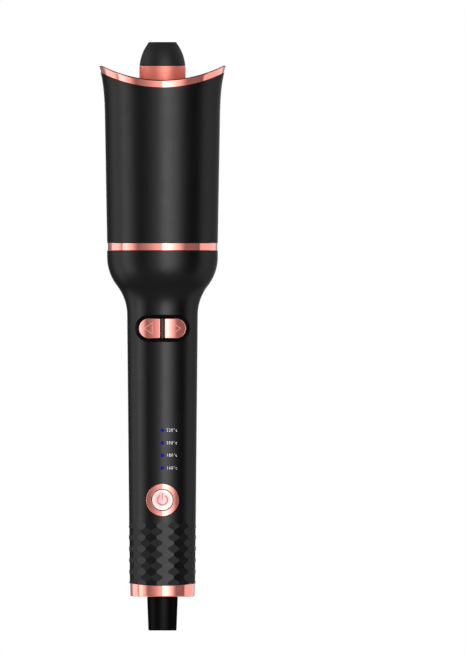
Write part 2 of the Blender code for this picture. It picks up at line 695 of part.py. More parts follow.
def grip_line(bm, row, plain):
    # the zigzag line under a row of facets: the corner at each half column belongs to a flat on one
    # side and to two neighbours on the other, so it has a low point and a high one, and the line's
    # slants cross halfway between
    turn = 2 * math.pi / WALL_FACETS
    z = GRIP_TOP - (GRIP_ROWS - row) * GRIP_ROW

    def corner(k, level, grow):
        radius = handle_radius(level) if plain else (handle_radius(level) - GRIP_SINK) * grow
        angle = k * turn - math.pi / 2
        return bm.verts.new((radius * MM * math.cos(angle), radius * MM * math.sin(angle), level * MM))

    levels = [z + GRIP_SLANT / 2 * (-1 if (k + row) % 2 == 0 else 1) for k in range(WALL_FACETS)]
    low = [corner(k, levels[k], 1.0) for k in range(WALL_FACETS)]
    if plain:
        return low, low, None
    high = [corner(k, levels[k], 1 / math.cos(turn)) for k in range(WALL_FACETS)]
    middle = [corner(k + 0.5, z, 1 / math.cos(turn / 2)) for k in range(WALL_FACETS)]
    for k in range(WALL_FACETS):
        after = (k + 1) % WALL_FACETS
        bm.faces.new((low[k], high[k], middle[k]))
        bm.faces.new((low[after], middle[k], high[after]))
    return low, high, middle


def grip_facet(bm, below, above, k):
    before = (k - 1) % WALL_FACETS
    after = (k + 1) % WALL_FACETS
    edge = [below[0][k], below[2] and below[2][k], below[1][after], above[1][after],
            above[2] and above[2][k], above[0][k], above[2] and above[2][before], above[1][before],
            below[1][before], below[2] and below[2][before]]
    bm.faces.new([v for v in edge if v])


def handle_body(name, material):
    bm = bmesh.new()
    lines = [grip_line(bm, row, row in (0, GRIP_ROWS)) for row in range(GRIP_ROWS + 1)]
    for row in range(GRIP_ROWS):
        for k in range(row % 2, WALL_FACETS, 2):
            grip_facet(bm, lines[row], lines[row + 1], k)
    steps = [SHOULDER_BOTTOM + SHOULDER_LENGTH * i / SHOULDER_STEPS for i in range(SHOULDER_STEPS + 1)]
    outer_levels = [GRIP_TOP + GRIP_BLEND] + steps + [HANDLE_TOP]
    inner_levels = [HANDLE_TOP] + list(reversed(steps))[::2] + [GRIP_TOP - (GRIP_ROWS + 1) * GRIP_ROW]
    outer = [lines[-1][0]] + [ring_of(bm, handle_radius(z), z) for z in outer_levels]
    inner = [ring_of(bm, bore_radius(z), z) for z in inner_levels]
    loops = outer + inner + [lines[0][0]]
    for lower, upper in zip(loops, loops[1:]):
        skin(bm, lower, upper)
    return finish(name, bm, material)


def tail_cutter(name, level, up):
    # everything above or below the dished seam
    half = HANDLE_NECK_R + PAST
    far = level + 2 * PAST if up else -2 * PAST
    outline = dish(level, SEAM_ARC, half) + [(half, far), (-half, far)]
    return along_y(name, outline, -half, half)


def half_space(name, side):
    wide = HANDLE_TOP_R + PAST
    outline = rectangle(-wide, wide, 0, HANDLE_TOP + 2 * PAST)
    return along_y(name, outline, side * SEAM / 2, side * wide)


def envelope(name, depth):
    # the handle's outer form, less a depth, for what is moulded on its inside
    levels = [HANDLE_BOTTOM] + [SHOULDER_BOTTOM + SHOULDER_LENGTH * i / 6 for i in range(7)]
    profile = [(0, HANDLE_TOP), (handle_radius(HANDLE_TOP) - depth, HANDLE_TOP)]
    profile += [(handle_radius(z) - depth, z) for z in reversed(levels)]
    return turned(name, profile + [(0, HANDLE_BOTTOM)], WALL_FACETS)


def screw_places():
    return (("left", -UPPER_SCREW_OUT, UPPER_SCREW_Z), ("right", UPPER_SCREW_OUT, UPPER_SCREW_Z),
            ("grip", 0.0, GRIP_SCREW_Z))


def well_floor(x, z):
    # level along Y at which a screw's head sits in the rear half
    return math.sqrt(handle_radius(z) ** 2 - x ** 2) - WELL_DEPTH


def add_bosses(half, side):
    for label, x, z in screw_places():
        name = f"boss_{label}_{'rear' if side > 0 else 'front'}"
        boss = along_y(name, circle(x, z, BOSS_R, 8), side * SEAM / 2, side * HANDLE_TOP_R)
        join(half, keep_inside(boss, envelope(name + "_limit", HANDLE_WALL / 2)))


def make_handle_rear(material):
    rear = handle_body("handle_rear", material)
    keep_inside(rear, half_space("rear_half", 1))
    cut(rear, tail_cutter("rear_seam_cut", HANDLE_BOTTOM, False))
    add_bosses(rear, 1)
    for label, x, z in screw_places():
        floor = well_floor(x, z)
        hole = circle(x, z, SCREW_R + FIT_GAP, 8)
        well = circle(x, z, SCREW_HEAD_R + FIT_GAP / 2, 12)
        cut(rear, along_y(f"screw_hole_{label}", hole, -PAST, HANDLE_TOP_R),
            along_y(f"screw_well_{label}", well, floor, HANDLE_TOP_R + PAST))
    for number, rise in enumerate(CRADLE_RISES):
        add_cradle(rear, number, MOTOR_BOTTOM + rise)
    return rear


def add_cradle(rear, number, level):
    # a rib across the rear half whose round notch holds the motor
    reach = bore_radius(level) + HANDLE_WALL / 2
    start = math.asin(SEAM / reach)
    rib = along_z(f"cradle_{number}", arc_points((0, 0), reach, start, math.pi - start, 12),
                  level, level + CRADLE_THICK)
    held = MOTOR_R + FIT_GAP
    below = level - PAST
    above = level + CRADLE_THICK + PAST
    cut(rib, along_z(f"cradle_notch_{number}", circle(0, MOTOR_BACK, held, 20), below, above),
        along_z(f"cradle_mouth_{number}", rectangle(-held, held, -PAST, MOTOR_BACK), below, above))
    join(rear, rib)


def make_handle_front(material):
    front = handle_body("handle_front", material)
    keep_inside(front, half_space("front_half", -1))
    cut(front, tail_cutter("front_seam_cut", HANDLE_BOTTOM, False))
    add_bosses(front, -1)
    for label, x, z in screw_places():
        hole = circle(x, z, SCREW_R + FIT_GAP, 8)
        cut(front, along_y(f"pilot_{label}", hole, -SCREW_REACH - PILOT_OVER, PAST))
    for number, z in enumerate((POWER_Z + STANDOFF_IN, DIRECTION_Z - STANDOFF_IN)):
        for side in (-1, 1):
            name = f"standoff_{number}_{'left' if side < 0 else 'right'}"
            post = along_y(name, circle(side * STANDOFF_OUT, z, STANDOFF_R, 8),
                           -HANDLE_NECK_R, -BOARD_FRONT - FIT_GAP)
            join(front, keep_inside(post, envelope(name + "_limit", HANDLE_WALL / 2)))
    frame = pill(0, DIRECTION_Z, FRAME_LENGTH + 2 * FIT_GAP, FRAME_HEIGHT + 2 * FIT_GAP)
    cut(front, along_y("direction_hole", frame, -HANDLE_TOP_R, -PAST),
        along_y("power_hole", circle(0, POWER_Z, POWER_BEZEL_R + FIT_GAP, 28), -HANDLE_TOP_R, -PAST))
    for name, z in lamp_places():
        hole = circle(0, z, LAMP_R + FIT_GAP / 2, 8)
        cut(front, along_y(name + "_hole", hole, -HANDLE_TOP_R, -PAST))
    return front


def make_screw(label, x, z, material):
    floor = well_floor(x, z) + FIT_GAP
    top = floor + SCREW_HEAD_HEIGHT
    screw = along_y(f"screw_{label}", circle(x, z, SCREW_HEAD_R, 12), floor, top, material)
    join(screw, along_y(f"screw_{label}_shank", circle(x, z, SCREW_R, 8), -SCREW_REACH, floor + FIT_GAP))
    arm = DRIVE_REACH
    slim = DRIVE_HALF
    cross = [(x - arm, z - slim), (x - slim, z - slim), (x - slim, z - arm), (x + slim, z - arm),
             (x + slim, z - slim), (x + arm, z - slim), (x + arm, z + slim), (x + slim, z + slim),
             (x + slim, z + arm), (x - slim, z + arm), (x - slim, z + slim), (x - arm, z + slim)]
    drive = along_y(f"screw_{label}_drive", cross, floor + SCREW_HEAD_HEIGHT / 2, floor + PAST)
    return cut(screw, drive)


# ---- tail ------------------------------------------------------------------------------------

def make_tail_ring(material):
    inside = TAIL_END_R - TAIL_WALL
    top = TAIL_SEAM + PAST
    outside = TAIL_TOP_R + TAIL_TAPER * PAST / TAIL_HEIGHT
    profile = [
        (outside, top), (TAIL_END_R, TAIL_BOTTOM),
        (NECK_R + RUN_GAP, TAIL_BOTTOM), (NECK_R + RUN_GAP, TAIL_BOTTOM + TAIL_FLOOR),
        (inside, TAIL_BOTTOM + TAIL_FLOOR), (inside, top)]
    ring = turned("tail_ring", profile, WALL_FACETS, material)
    return cut(ring, tail_cutter("ring_seam_cut", TAIL_SEAM, True))


def flange_bottom():
    return TAIL_BOTTOM + TAIL_FLOOR + FIT_GAP


def make_swivel_housing(material):
    # plug in the handle's end that keeps the sleeve's flange in the tail ring
    bottom = flange_bottom() + FLANGE_THICK + FIT_GAP
    inside = TAIL_END_R - TAIL_WALL - FIT_GAP
    ledge = HANDLE_BOTTOM + SEAM_ARC - math.sqrt(SEAM_ARC ** 2 - HANDLE_END_R ** 2) + FIT_GAP
    outside = bore_radius(HANDLE_BOTTOM) - FIT_GAP
    top = ledge + HOUSING_HEIGHT
    inner = CORD_R + FIT_GAP
    profile = [
        (outside, top), (outside, ledge), (inside, ledge), (inside, bottom), (inner, bottom),
        (inner, ledge + HOUSING_HEIGHT / 3), (outside - HANDLE_WALL, ledge + HOUSING_HEIGHT / 3),
        (outside - HANDLE_WALL, top)]
    return turned("swivel_housing", profile, INNER_FACETS, material)


def make_sleeve(material):
    bottom = flange_bottom()
    profile = [
        (FLANGE_R, bottom + FLANGE_THICK), (FLANGE_R, bottom), (NECK_R, bottom), (NECK_R, SLEEVE_TOP),
        (SLEEVE_TOP_R, SLEEVE_TOP), (SLEEVE_END_R, SLEEVE_EDGE), (SLEEVE_END_R - SLEEVE_EDGE, 0), (CORD_R, 0),
        (CORD_R, bottom + FLANGE_THICK)]
    return turned("cord_sleeve", profile, INNER_FACETS, material)


# ---- controls --------------------------------------------------------------------------------

def front_layer(name, z, half, outer, inner):
    # a stretch of the round wall round the level z, between two depths under the handle's surface
    surface = handle_radius(z)
    profile = [(surface - outer, z + half), (surface - outer, z - half),
               (surface - inner, z - half), (surface - inner, z + half)]
    return turned(name, profile, FACE_FACETS)


def make_frame(material):
    outline = pill(0, DIRECTION_Z, FRAME_LENGTH, FRAME_HEIGHT)
    frame = along_y("direction_frame", outline, -HANDLE_TOP_R, -PAST, material)
    back = HANDLE_WALL + FRAME_SINK - FIT_GAP
    keep_inside(frame, front_layer("frame_layer", DIRECTION_Z, FRAME_HEIGHT, FRAME_SINK, back))
    opening = pill(0, DIRECTION_Z, PILL_LENGTH + 2 * FIT_GAP, PILL_HEIGHT + 2 * FIT_GAP)
    return cut(frame, along_y("frame_opening", opening, -HANDLE_TOP_R - PAST, 0))


def make_divider(material):
    half = PILL_HEIGHT / 2
    outline = rectangle(-DIVIDER_WIDTH / 2, DIVIDER_WIDTH / 2, DIRECTION_Z - half, DIRECTION_Z + half)
    divider = along_y("button_divider", outline, -HANDLE_TOP_R, -PAST, material)
    return keep_inside(divider, front_layer("divider_layer", DIRECTION_Z, FRAME_HEIGHT, DIVIDER_PROUD,
                                            HANDLE_WALL))


def half_pill(side, grow, middle):
    # the pill's left or right part, from the middle rib outwards
    whole = pill(0, DIRECTION_Z, PILL_LENGTH + 2 * grow, PILL_HEIGHT + 2 * grow)
    outline = [(x, z) for x, z in whole if x * side > 0]
    if side > 0:
        return [(middle, DIRECTION_Z - PILL_HEIGHT / 2 - grow)] + outline + \
            [(middle, DIRECTION_Z + PILL_HEIGHT / 2 + grow)]
    return [(-middle, DIRECTION_Z + PILL_HEIGHT / 2 + grow)] + outline + \
        [(-middle, DIRECTION_Z - PILL_HEIGHT / 2 - grow)]


def make_direction_button(name, side, material):
    middle = DIVIDER_WIDTH / 2 + FIT_GAP
    tall = FRAME_HEIGHT
    surface = handle_radius(DIRECTION_Z)
    back = HANDLE_WALL + FRAME_SINK
    button = along_y(name, half_pill(side, 0, middle), -HANDLE_TOP_R, -1, material)
    keep_inside(button, front_layer(name + "_face", DIRECTION_Z, tall, -BUTTON_PROUD, back + LIP_DEPTH))
    lip = along_y(name + "_lip", half_pill(side, LIP_WIDTH, middle), -HANDLE_TOP_R, -1)
    keep_inside(lip, front_layer(name + "_lip_layer", DIRECTION_Z, tall, back, back + LIP_DEPTH))
    join(button, lip)
    outer = math.sqrt((surface - back) ** 2 - SWITCH_OUT ** 2)
    stem = rectangle(side * SWITCH_OUT - BUTTON_STEM / 2, side * SWITCH_OUT + BUTTON_STEM / 2,
                     DIRECTION_Z - BUTTON_STEM / 2, DIRECTION_Z + BUTTON_STEM / 2)
    return join(button, along_y(name + "_stem", stem, -outer, STEM_BACK))


def make_power_bezel(material):
    disc = circle(0, POWER_Z, POWER_BEZEL_R, 32)
    bezel = along_y("power_bezel", disc, -HANDLE_TOP_R, -BEZEL_BACK, material)
    inner = handle_radius(POWER_Z) - BEZEL_BACK / 2
    keep_inside(bezel, front_layer("bezel_layer", POWER_Z, 2 * POWER_BEZEL_R, -BEZEL_PROUD, inner))
    opening = circle(0, POWER_Z, POWER_BUTTON_R + FIT_GAP, 28)
    return cut(bezel, along_y("bezel_opening", opening, -HANDLE_TOP_R - PAST, 0))


def make_power_button(material):
    behind = -BEZEL_BACK + FIT_GAP
    disc = circle(0, POWER_Z, POWER_BUTTON_R, 28)
    button = along_y("power_button", disc, -HANDLE_TOP_R, behind + LIP_DEPTH, material)
    inner = handle_radius(POWER_Z) - BEZEL_BACK / 2
    keep_inside(button, front_layer("power_face", POWER_Z, POWER_BEZEL_R, -POWER_PROUD, inner))
    lip = circle(0, POWER_Z, POWER_BUTTON_R + LIP_WIDTH, 28)
    stem = circle(0, POWER_Z, BUTTON_STEM / 2, 12)
    return join(button, along_y("power_lip", lip, behind, behind + LIP_DEPTH),
                along_y("power_stem", stem, behind, STEM_BACK))


def lamp_places():
    return [(name, POWER_Z + rise) for name, rise in zip(LAMP_NAMES, LAMP_RISES)]


def make_lamp(name, z, material):
    return along_y(name, circle(0, z, LAMP_R, 8), -handle_radius(z), -BOARD_FRONT - FIT_GAP, material)


def make_board(material):
    outline = rectangle(-BOARD_WIDTH / 2, BOARD_WIDTH / 2, POWER_Z - BOARD_OVER, DIRECTION_Z + BOARD_OVER)
    return along_y("control_board", outline, -BOARD_FRONT, -BOARD_FRONT + BOARD_THICK, material)


def make_switch(name, x, z, material):
    half = SWITCH_SIDE / 2
    square = rectangle(x - half, x + half, z - half, z + half)
    body = along_y(name, square, SWITCH_FRONT, SWITCH_BACK, material)
    well = circle(x, z, PLUNGER_R + FIT_GAP, 12)
    return cut(body, along_y(name + "_well", well, SWITCH_FRONT - PAST, SWITCH_BACK - SWITCH_FLOOR))


def make_plunger(name, x, z, material):
    return along_y(name, circle(x, z, PLUNGER_R, 12), PLUNGER_FRONT, PLUNGER_FRONT + PLUNGER_LENGTH, material)


# ---- the whole curler ------------------------------------------------------------------------

def build():
    for obj in list(bpy.data.objects):
        bpy.data.objects.remove(obj)

    black = paint("satin_black", (0.012, 0.012, 0.013), 0.36)
    dark = paint("dark_frame", (0.006, 0.006, 0.006), 0.3)
    rose = paint("rose_gold", (0.86, 0.42, 0.34), 0.16, 1.0)
    ceramic = paint("rose_ceramic", (0.62, 0.20, 0.15), 0.32, 0.35)
    blush = paint("blush_enamel", (0.90, 0.62, 0.58), 0.28, 0.3)
    slate = paint("slate_grey", (0.12, 0.13, 0.15), 0.35)
    blue = paint("blue_lens", (0.02, 0.03, 0.45), 0.2)
    moulded = paint("moulded_black", (0.02, 0.02, 0.02), 0.55)
    heat_proof = paint("heat_proof_plastic", (0.03, 0.03, 0.028), 0.6)
    steel = paint("bright_steel", (0.62, 0.63, 0.65), 0.28, 1.0)
    brass = paint("contact_brass", (0.75, 0.56, 0.22), 0.3, 1.0)
    nylon = paint("white_nylon", (0.78, 0.77, 0.72), 0.45)
    aluminium = paint("heater_aluminium", (0.72, 0.73, 0.74), 0.4, 1.0)
    alumina = paint("white_alumina", (0.85, 0.84, 0.80), 0.6)
    board_green = paint("board_green", (0.02, 0.16, 0.06), 0.4)

    make_head_shell(black)
    make_liner(rose)
    make_floor(heat_proof)
    make_accent_ring(rose)
    make_handle_front(black)
    make_handle_rear(black)
    make_tail_ring(rose)
    make_swivel_housing(moulded)

    make_frame(dark)
    make_divider(slate)
    make_power_bezel(rose)
    make_board(board_green)
    for name, z in lamp_places():
        make_lamp(name, z, blue)
    for label, x, z in screw_places():
        make_screw(label, x, z, moulded)

    make_bearing("upper_bearing", BEARING_R, BEARING_BOTTOM, BEARING_HEIGHT, steel)
    make_bearing("lower_bearing", LOWER_BEARING_R, LOWER_BEARING_BOTTOM, LOWER_BEARING_HEIGHT, steel)
    make_gear_plate(nylon)
    make_gear_motor(steel)
    make_brush_block(moulded)

    barrel_axis = joint_axis("barrel_axis", 0, 0, FLOOR_TOP)
    carry(barrel_axis, make_barrel(ceramic), make_cap(moulded), make_hub(heat_proof),
          make_shoe("heater_shoe_front", -1, aluminium), make_shoe("heater_shoe_rear", 1, aluminium),
          make_heater_plate(alumina), make_shaft(steel), make_barrel_gear(nylon), make_slip_ring(brass))
    pinion_axis = joint_axis("pinion_axis", 0, GEAR_DISTANCE, GEAR_BOTTOM)
    carry(pinion_axis, make_pinion(brass))
    sleeve_axis = joint_axis("sleeve_axis", 0, 0, SLEEVE_TOP)
    carry(sleeve_axis, make_sleeve(black))

    for label, side in (("left", -1), ("right", 1)):
        x = side * SWITCH_OUT
        make_switch(f"switch_{label}", x, DIRECTION_Z, moulded)
        axis = joint_axis(f"button_{label}_axis", x, STEM_BACK, DIRECTION_Z)
        carry(axis, make_direction_button(f"button_{label}", side, rose),
              make_plunger(f"plunger_{label}", x, DIRECTION_Z, nylon))
    make_switch("switch_power", 0, POWER_Z, moulded)
    power_axis = joint_axis("power_axis", 0, STEM_BACK, POWER_Z)
    carry(power_axis, make_power_button(blush), make_plunger("plunger_power", 0, POWER_Z, nylon))


build()
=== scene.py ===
import math

import bmesh
import bpy
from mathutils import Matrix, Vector


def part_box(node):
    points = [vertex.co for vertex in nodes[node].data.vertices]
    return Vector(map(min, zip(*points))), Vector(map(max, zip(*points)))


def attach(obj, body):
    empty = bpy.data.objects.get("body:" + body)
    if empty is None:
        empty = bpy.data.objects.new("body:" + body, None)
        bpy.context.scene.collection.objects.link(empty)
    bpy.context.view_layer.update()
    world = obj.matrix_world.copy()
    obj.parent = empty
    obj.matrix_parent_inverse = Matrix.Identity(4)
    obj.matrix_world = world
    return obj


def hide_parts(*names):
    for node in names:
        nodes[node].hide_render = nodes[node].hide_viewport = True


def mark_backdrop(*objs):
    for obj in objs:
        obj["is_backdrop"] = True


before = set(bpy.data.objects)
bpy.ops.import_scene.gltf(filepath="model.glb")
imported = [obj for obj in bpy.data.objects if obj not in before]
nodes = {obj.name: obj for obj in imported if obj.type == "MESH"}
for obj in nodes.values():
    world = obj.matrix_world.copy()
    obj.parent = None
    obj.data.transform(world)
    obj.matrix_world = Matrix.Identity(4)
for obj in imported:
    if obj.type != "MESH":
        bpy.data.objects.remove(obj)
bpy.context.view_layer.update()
scene = bpy.context.scene
mm = 0.001
shownSeam = 0.06  # outer pieces nearly close on each other, so no light shows through a seam
print("packed model loaded:", len(nodes), "nodes")

def corners(node):
    # lowest and highest corner of a CAD node in millimetres
    low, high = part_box(node)
    return [v / mm for v in low], [v / mm for v in high]

def bottomOf(node):
    return corners(node)[0][2]

def topOf(node):
    return corners(node)[1][2]

def reachOf(node):
    # how far a CAD node reaches towards +X
    return corners(node)[1][0]

def sizeOf(node):
    return bottomOf(node), topOf(node), reachOf(node)

def middleOf(node):
    low, high = corners(node)
    return [(a + b) / 2 for a, b in zip(low, high)]

# Finishes. Each look is what a user would change; colours are linear, and a single number is a grey.
# Grain is the noise's size in millimetres. What a look leaves out comes from plainLook
looks = {
    "satinBlack": dict(colour=0.0255, deep=0.0235, rough=(0.31, 0.35), grain=0.16, bump=0.0012, metallic=1.0,
        edge=0.45),
    "capBlack": dict(colour=0.0265, deep=0.023, rough=(0.46, 0.54), grain=0.22, bump=0.003, metallic=0.8,
        edge=0.5, gloss=0.3),
    "sleeveBlack": dict(colour=(0.0062, 0.0062, 0.0064), deep=(0.005, 0.005, 0.0052), rough=(0.38, 0.46),
        bump=0.002, metallic=1.0, edge=0.4),
    "roseGold": dict(colour=(0.87, 0.3, 0.25), deep=(0.84, 0.28, 0.23), rough=(0.055, 0.085), grain=0.35,
        bump=0.0002, metallic=0.75, edge=(0.36, 0.6, 0.64), stretch=(1, 1, 7)),
    # a painted dark reflection for the upward faces of the band's rounded top edge
    "rimPaintedReflection": dict(colour=(0.055, 0.05, 0.048), deep=(0.045, 0.041, 0.039), rough=(0.3, 0.36), bump=0.0004,
        metallic=1.0, edge=0.4),
    "roseLining": dict(colour=(0.8, 0.34, 0.29), deep=(0.76, 0.31, 0.26), rough=(0.3, 0.38), bump=0.0006,
        metallic=0.35),
    "roseCeramic": dict(colour=(0.76, 0.26, 0.2), deep=(0.73, 0.24, 0.185), rough=(0.48, 0.54), grain=0.12,
        bump=0.0008, metallic=0.75, edge=0.5, stretch=(1, 1, 0.35)),
    # the power button's rim below is a painted highlight: the disc turns paler towards its edge
    "blushEnamel": dict(colour=(0.86, 0.42, 0.41), deep=(0.84, 0.39, 0.38), rough=(0.24, 0.3), grain=0.5,
        bump=0.0003, metallic=0.1, rim=dict(colour=(0.92, 0.7, 0.68), centre=(0, 72.3), start=3.1, end=4.9)),
    # the triangles' groove strip is a painted highlight, for light caught by the groove's walls
    "paintedGrooveHighlight": dict(colour=(0.84, 0.34, 0.3), deep=(0.74, 0.29, 0.26), rough=(0.4, 0.5), bump=0.0005,
        metallic=0.1),
    "engravedShade": dict(colour=(0.36, 0.155, 0.165), deep=(0.3, 0.13, 0.14), rough=(0.4, 0.5), bump=0.0005,
        metallic=0.1),
    "slateRib": dict(colour=(0.03, 0.036, 0.038), deep=(0.026, 0.032, 0.034), rough=(0.42, 0.5),
        metallic=1.0, edge=0.4),
    # the key surround's near-black colour is painted shade of its recess
    "recessPaintedShade": dict(colour=(0.0085, 0.0085, 0.0088), deep=(0.007, 0.007, 0.0073), rough=(0.4, 0.48),
        grain=0.18, metallic=1.0, edge=0.3),
    "blueLens": dict(colour=(0.002, 0.001, 0.12), deep=(0.001, 0.001, 0.09), rough=(0.3, 0.38), grain=0.3,
        bump=0.0003, gloss=0.06, glow=(0.001, 0.0005, 0.34)),
    # the printed labels glow as painted light, though the print is no lamp
    "printedGreyPaintedGlow": dict(colour=0.86, deep=0.78, rough=(0.5, 0.6), grain=0.15, bump=0.0004, glow=0.25),
    "mouldedBlack": dict(colour=0.014, deep=0.01, rough=(0.48, 0.6), grain=0.25, bump=0.002),
    "screwBlack": dict(colour=0.01, deep=0.006, rough=(0.34, 0.44), metallic=1.0, edge=0.3),
    "heatProof": dict(colour=(0.022, 0.021, 0.02), deep=(0.014, 0.014, 0.013), rough=(0.55, 0.7), grain=0.35,
        bump=0.004),
    "brightSteel": dict(colour=(0.6, 0.61, 0.63), deep=(0.5, 0.51, 0.53), rough=(0.2, 0.34), bump=0.0008,
        metallic=1.0, stretch=(1, 1, 0.12)),
    "contactBrass": dict(colour=(0.72, 0.5, 0.19), deep=(0.6, 0.39, 0.13), rough=(0.22, 0.36), bump=0.0008,
        metallic=1.0, stretch=(1, 1, 6)),
    "naturalNylon": dict(colour=(0.74, 0.72, 0.65), deep=(0.66, 0.63, 0.56), rough=(0.42, 0.52), grain=0.4,
        bump=0.002),
    "milledAluminium": dict(colour=(0.74, 0.75, 0.76), deep=(0.62, 0.63, 0.64), rough=(0.28, 0.42),
        grain=0.25, bump=0.0015, metallic=1.0, stretch=(8, 8, 0.2)),
    "whiteAlumina": dict(colour=(0.82, 0.81, 0.77), deep=(0.74, 0.72, 0.67), rough=(0.5, 0.64), grain=0.3,
        bump=0.002),
    "paleFloor": dict(colour=(0.98, 0.95, 0.93), deep=(0.96, 0.93, 0.91), rough=(0.8, 0.9), grain=4.0,
        bump=0.01),
    "boardGreen": dict(colour=(0.014, 0.12, 0.045), deep=(0.03, 0.19, 0.07), rough=(0.28, 0.4), grain=1.4,
        bump=0.002),
}
plainLook = {"grain": 0.2, "bump": 0.001, "metallic": 0.0, "edge": 1, "gloss": 0.5, "stretch": (1, 1, 1)}
noise = {"fineDetail": 3, "cloudDetail": 4, "cloudWidth": 60, "cloudLow": 0.3, "cloudHigh": 0.7,
         "bumpStrength": 0.6}

def tint(colour):
    return (*colour, 1) if isinstance(colour, tuple) else (colour, colour, colour, 1)

def plug(tree, node, sockets):
    # a socket takes a value or another node's output
    for name, value in sockets.items():
        if isinstance(value, bpy.types.NodeSocket):
            tree.links.new(value, node.inputs[name])
        else:
            node.inputs[name].default_value = value

def addNode(tree, kind, out, sockets, **settings):
    # makes a node and gives back its output called out
    node = tree.nodes.new("ShaderNode" + kind)
    for name, value in settings.items():
        setattr(node, name, value)
    plug(tree, node, sockets)
    return node.outputs[out]

def rangeTo(tree, value, low, high, start=0, end=1, **settings):
    # carries a value from low and high to start and end
    return addNode(tree, "MapRange", "Result", {"Value": value, "From Min": low, "From Max": high,
                                                "To Min": start, "To Max": end}, **settings)

def mixed(tree, share, first, second):
    return addNode(tree, "Mix", "Result", {"Factor": share, "A": first, "B": second}, data_type="RGBA")

def paintedHighlightRim(tree, place, colour, rim):
    # a painted highlight: a paler colour away from a point (x, z) of the front
    x, z = rim["centre"]
    apart = addNode(tree, "VectorMath", "Vector", {0: place, 1: (1, 0, 1), 2: (-x * mm, 0, -z * mm)},
                    operation="MULTIPLY_ADD")
    reach = addNode(tree, "VectorMath", "Value", {0: apart}, operation="LENGTH")
    share = rangeTo(tree, reach, rim["start"] * mm, rim["end"] * mm)
    return mixed(tree, share, colour, tint(rim["colour"]))

def makeFinish(name):
    # fine grain drives the bump, a wide cloud of the same noise shifts colour and roughness a little
    look = {**plainLook, **looks[name]}
    material = bpy.data.materials.new(name)
    material.use_nodes = True
    tree = material.node_tree
    place = addNode(tree, "TexCoord", "Object", {})
    spread = addNode(tree, "Mapping", "Vector", {"Vector": place, "Scale": look["stretch"]})
    scale = 1 / (look["grain"] * mm)
    fine = addNode(tree, "TexNoise", "Fac", {"Vector": spread, "Scale": scale,
                                             "Detail": noise["fineDetail"]})
    cloud = addNode(tree, "TexNoise", "Fac", {"Vector": spread, "Scale": scale / noise["cloudWidth"],
                                              "Detail": noise["cloudDetail"]})
    colour = mixed(tree, cloud, tint(look["colour"]), tint(look["deep"]))
    # a painted highlight, paler towards the edge
    if "rim" in look:
        colour = paintedHighlightRim(tree, place, colour, look["rim"])
    rough = rangeTo(tree, cloud, noise["cloudLow"], noise["cloudHigh"], *look["rough"])
    bump = addNode(tree, "Bump", "Normal", {"Height": fine, "Strength": noise["bumpStrength"],
                                            "Distance": look["bump"] * mm})
    shader = tree.nodes["Principled BSDF"]
    plug(tree, shader, {"Base Color": colour, "Roughness": rough, "Normal": bump,
                        "Metallic": look["metallic"], "Specular Tint": tint(look["edge"]),
                        "Specular IOR Level": look["gloss"]})
    if "glow" in look:
        plug(tree, shader, {"Emission Color": tint(look["glow"]), "Emission Strength": 1.0})
    return material

finishes = {name: makeFinish(name) for name in looks}
print("finishes made:", len(finishes))

# Making of meshes
meshing = {"sharpAngle": 38, "faceWeight": 90, "roundSteps": 4, "onAxis": 1e-6, "cutNear": 1e-7,
           "weldNear": 1e-5, "mitre": 0.4}

def addObject(name, data):
    made = bpy.data.objects.new(name, data)
    scene.collection.objects.link(made)
    return made

def meshPiece(name, bm, finish):
    bmesh.ops.recalc_face_normals(bm, faces=bm.faces)
    mesh = bpy.data.meshes.new(name)
    bm.to_mesh(mesh)
    bm.free()
    mesh.shade_smooth()
    mesh.set_sharp_from_angle(angle=math.radians(meshing["sharpAngle"]))
    mesh.materials.append(finishes[finish])
    piece = addObject(name, mesh)
    return piece

def vertexRow(bm, points):
    return [bm.verts.new([c * mm for c in point]) for point in points]

def bridge(bm, low, high):
    # faces between two closed rows of vertices; a row of one vertex is a pole
    count = max(len(low), len(high))
    for k in range(count):
        after = (k + 1) % count
        face = [low[k], low[after]] if len(low) > 1 else [low[0]]
        face += [high[after], high[k]] if len(high) > 1 else [high[0]]
        bm.faces.new(face)

def lattice(name, rows, finish, looped=False, capped=False):
    # rows of points become a skin, joined from the last row to the first or capped at both
    bm = bmesh.new()
    made = [vertexRow(bm, row) for row in rows]
    for low, high in list(zip(made, made[1:])) + ([(made[-1], made[0])] if looped else []):
        bridge(bm, low, high)
    if capped:
        bm.faces.new(made[0])
        bm.faces.new(made[-1])
    return meshPiece(name, bm, finish)

def evenShading(piece):
    # wide faces keep their own direction, so small rounded edges don't bend the light on them
    weighted = piece.modifiers.new("evenShading", "WEIGHTED_NORMAL")
    weighted.mode = "FACE_AREA"
    weighted.weight = meshing["faceWeight"]
    weighted.keep_sharp = True
    return piece

def quarter():
    # a rounded corner in shares of its size: how far each step lies from the side and from the top
    steps = meshing["roundSteps"]
    turns = [math.pi / 2 * k / steps for k in range(steps + 1)]
    return [(1 - math.cos(turn), 1 - math.sin(turn)) for turn in turns]

def turnsOf(count, first=0.0):
    return [2 * math.pi * (k + first) / count for k in range(count)]

def roundPoint(radius, a, z):
    # azimuth 0 is the front
    return radius * math.sin(a), -radius * math.cos(a), z

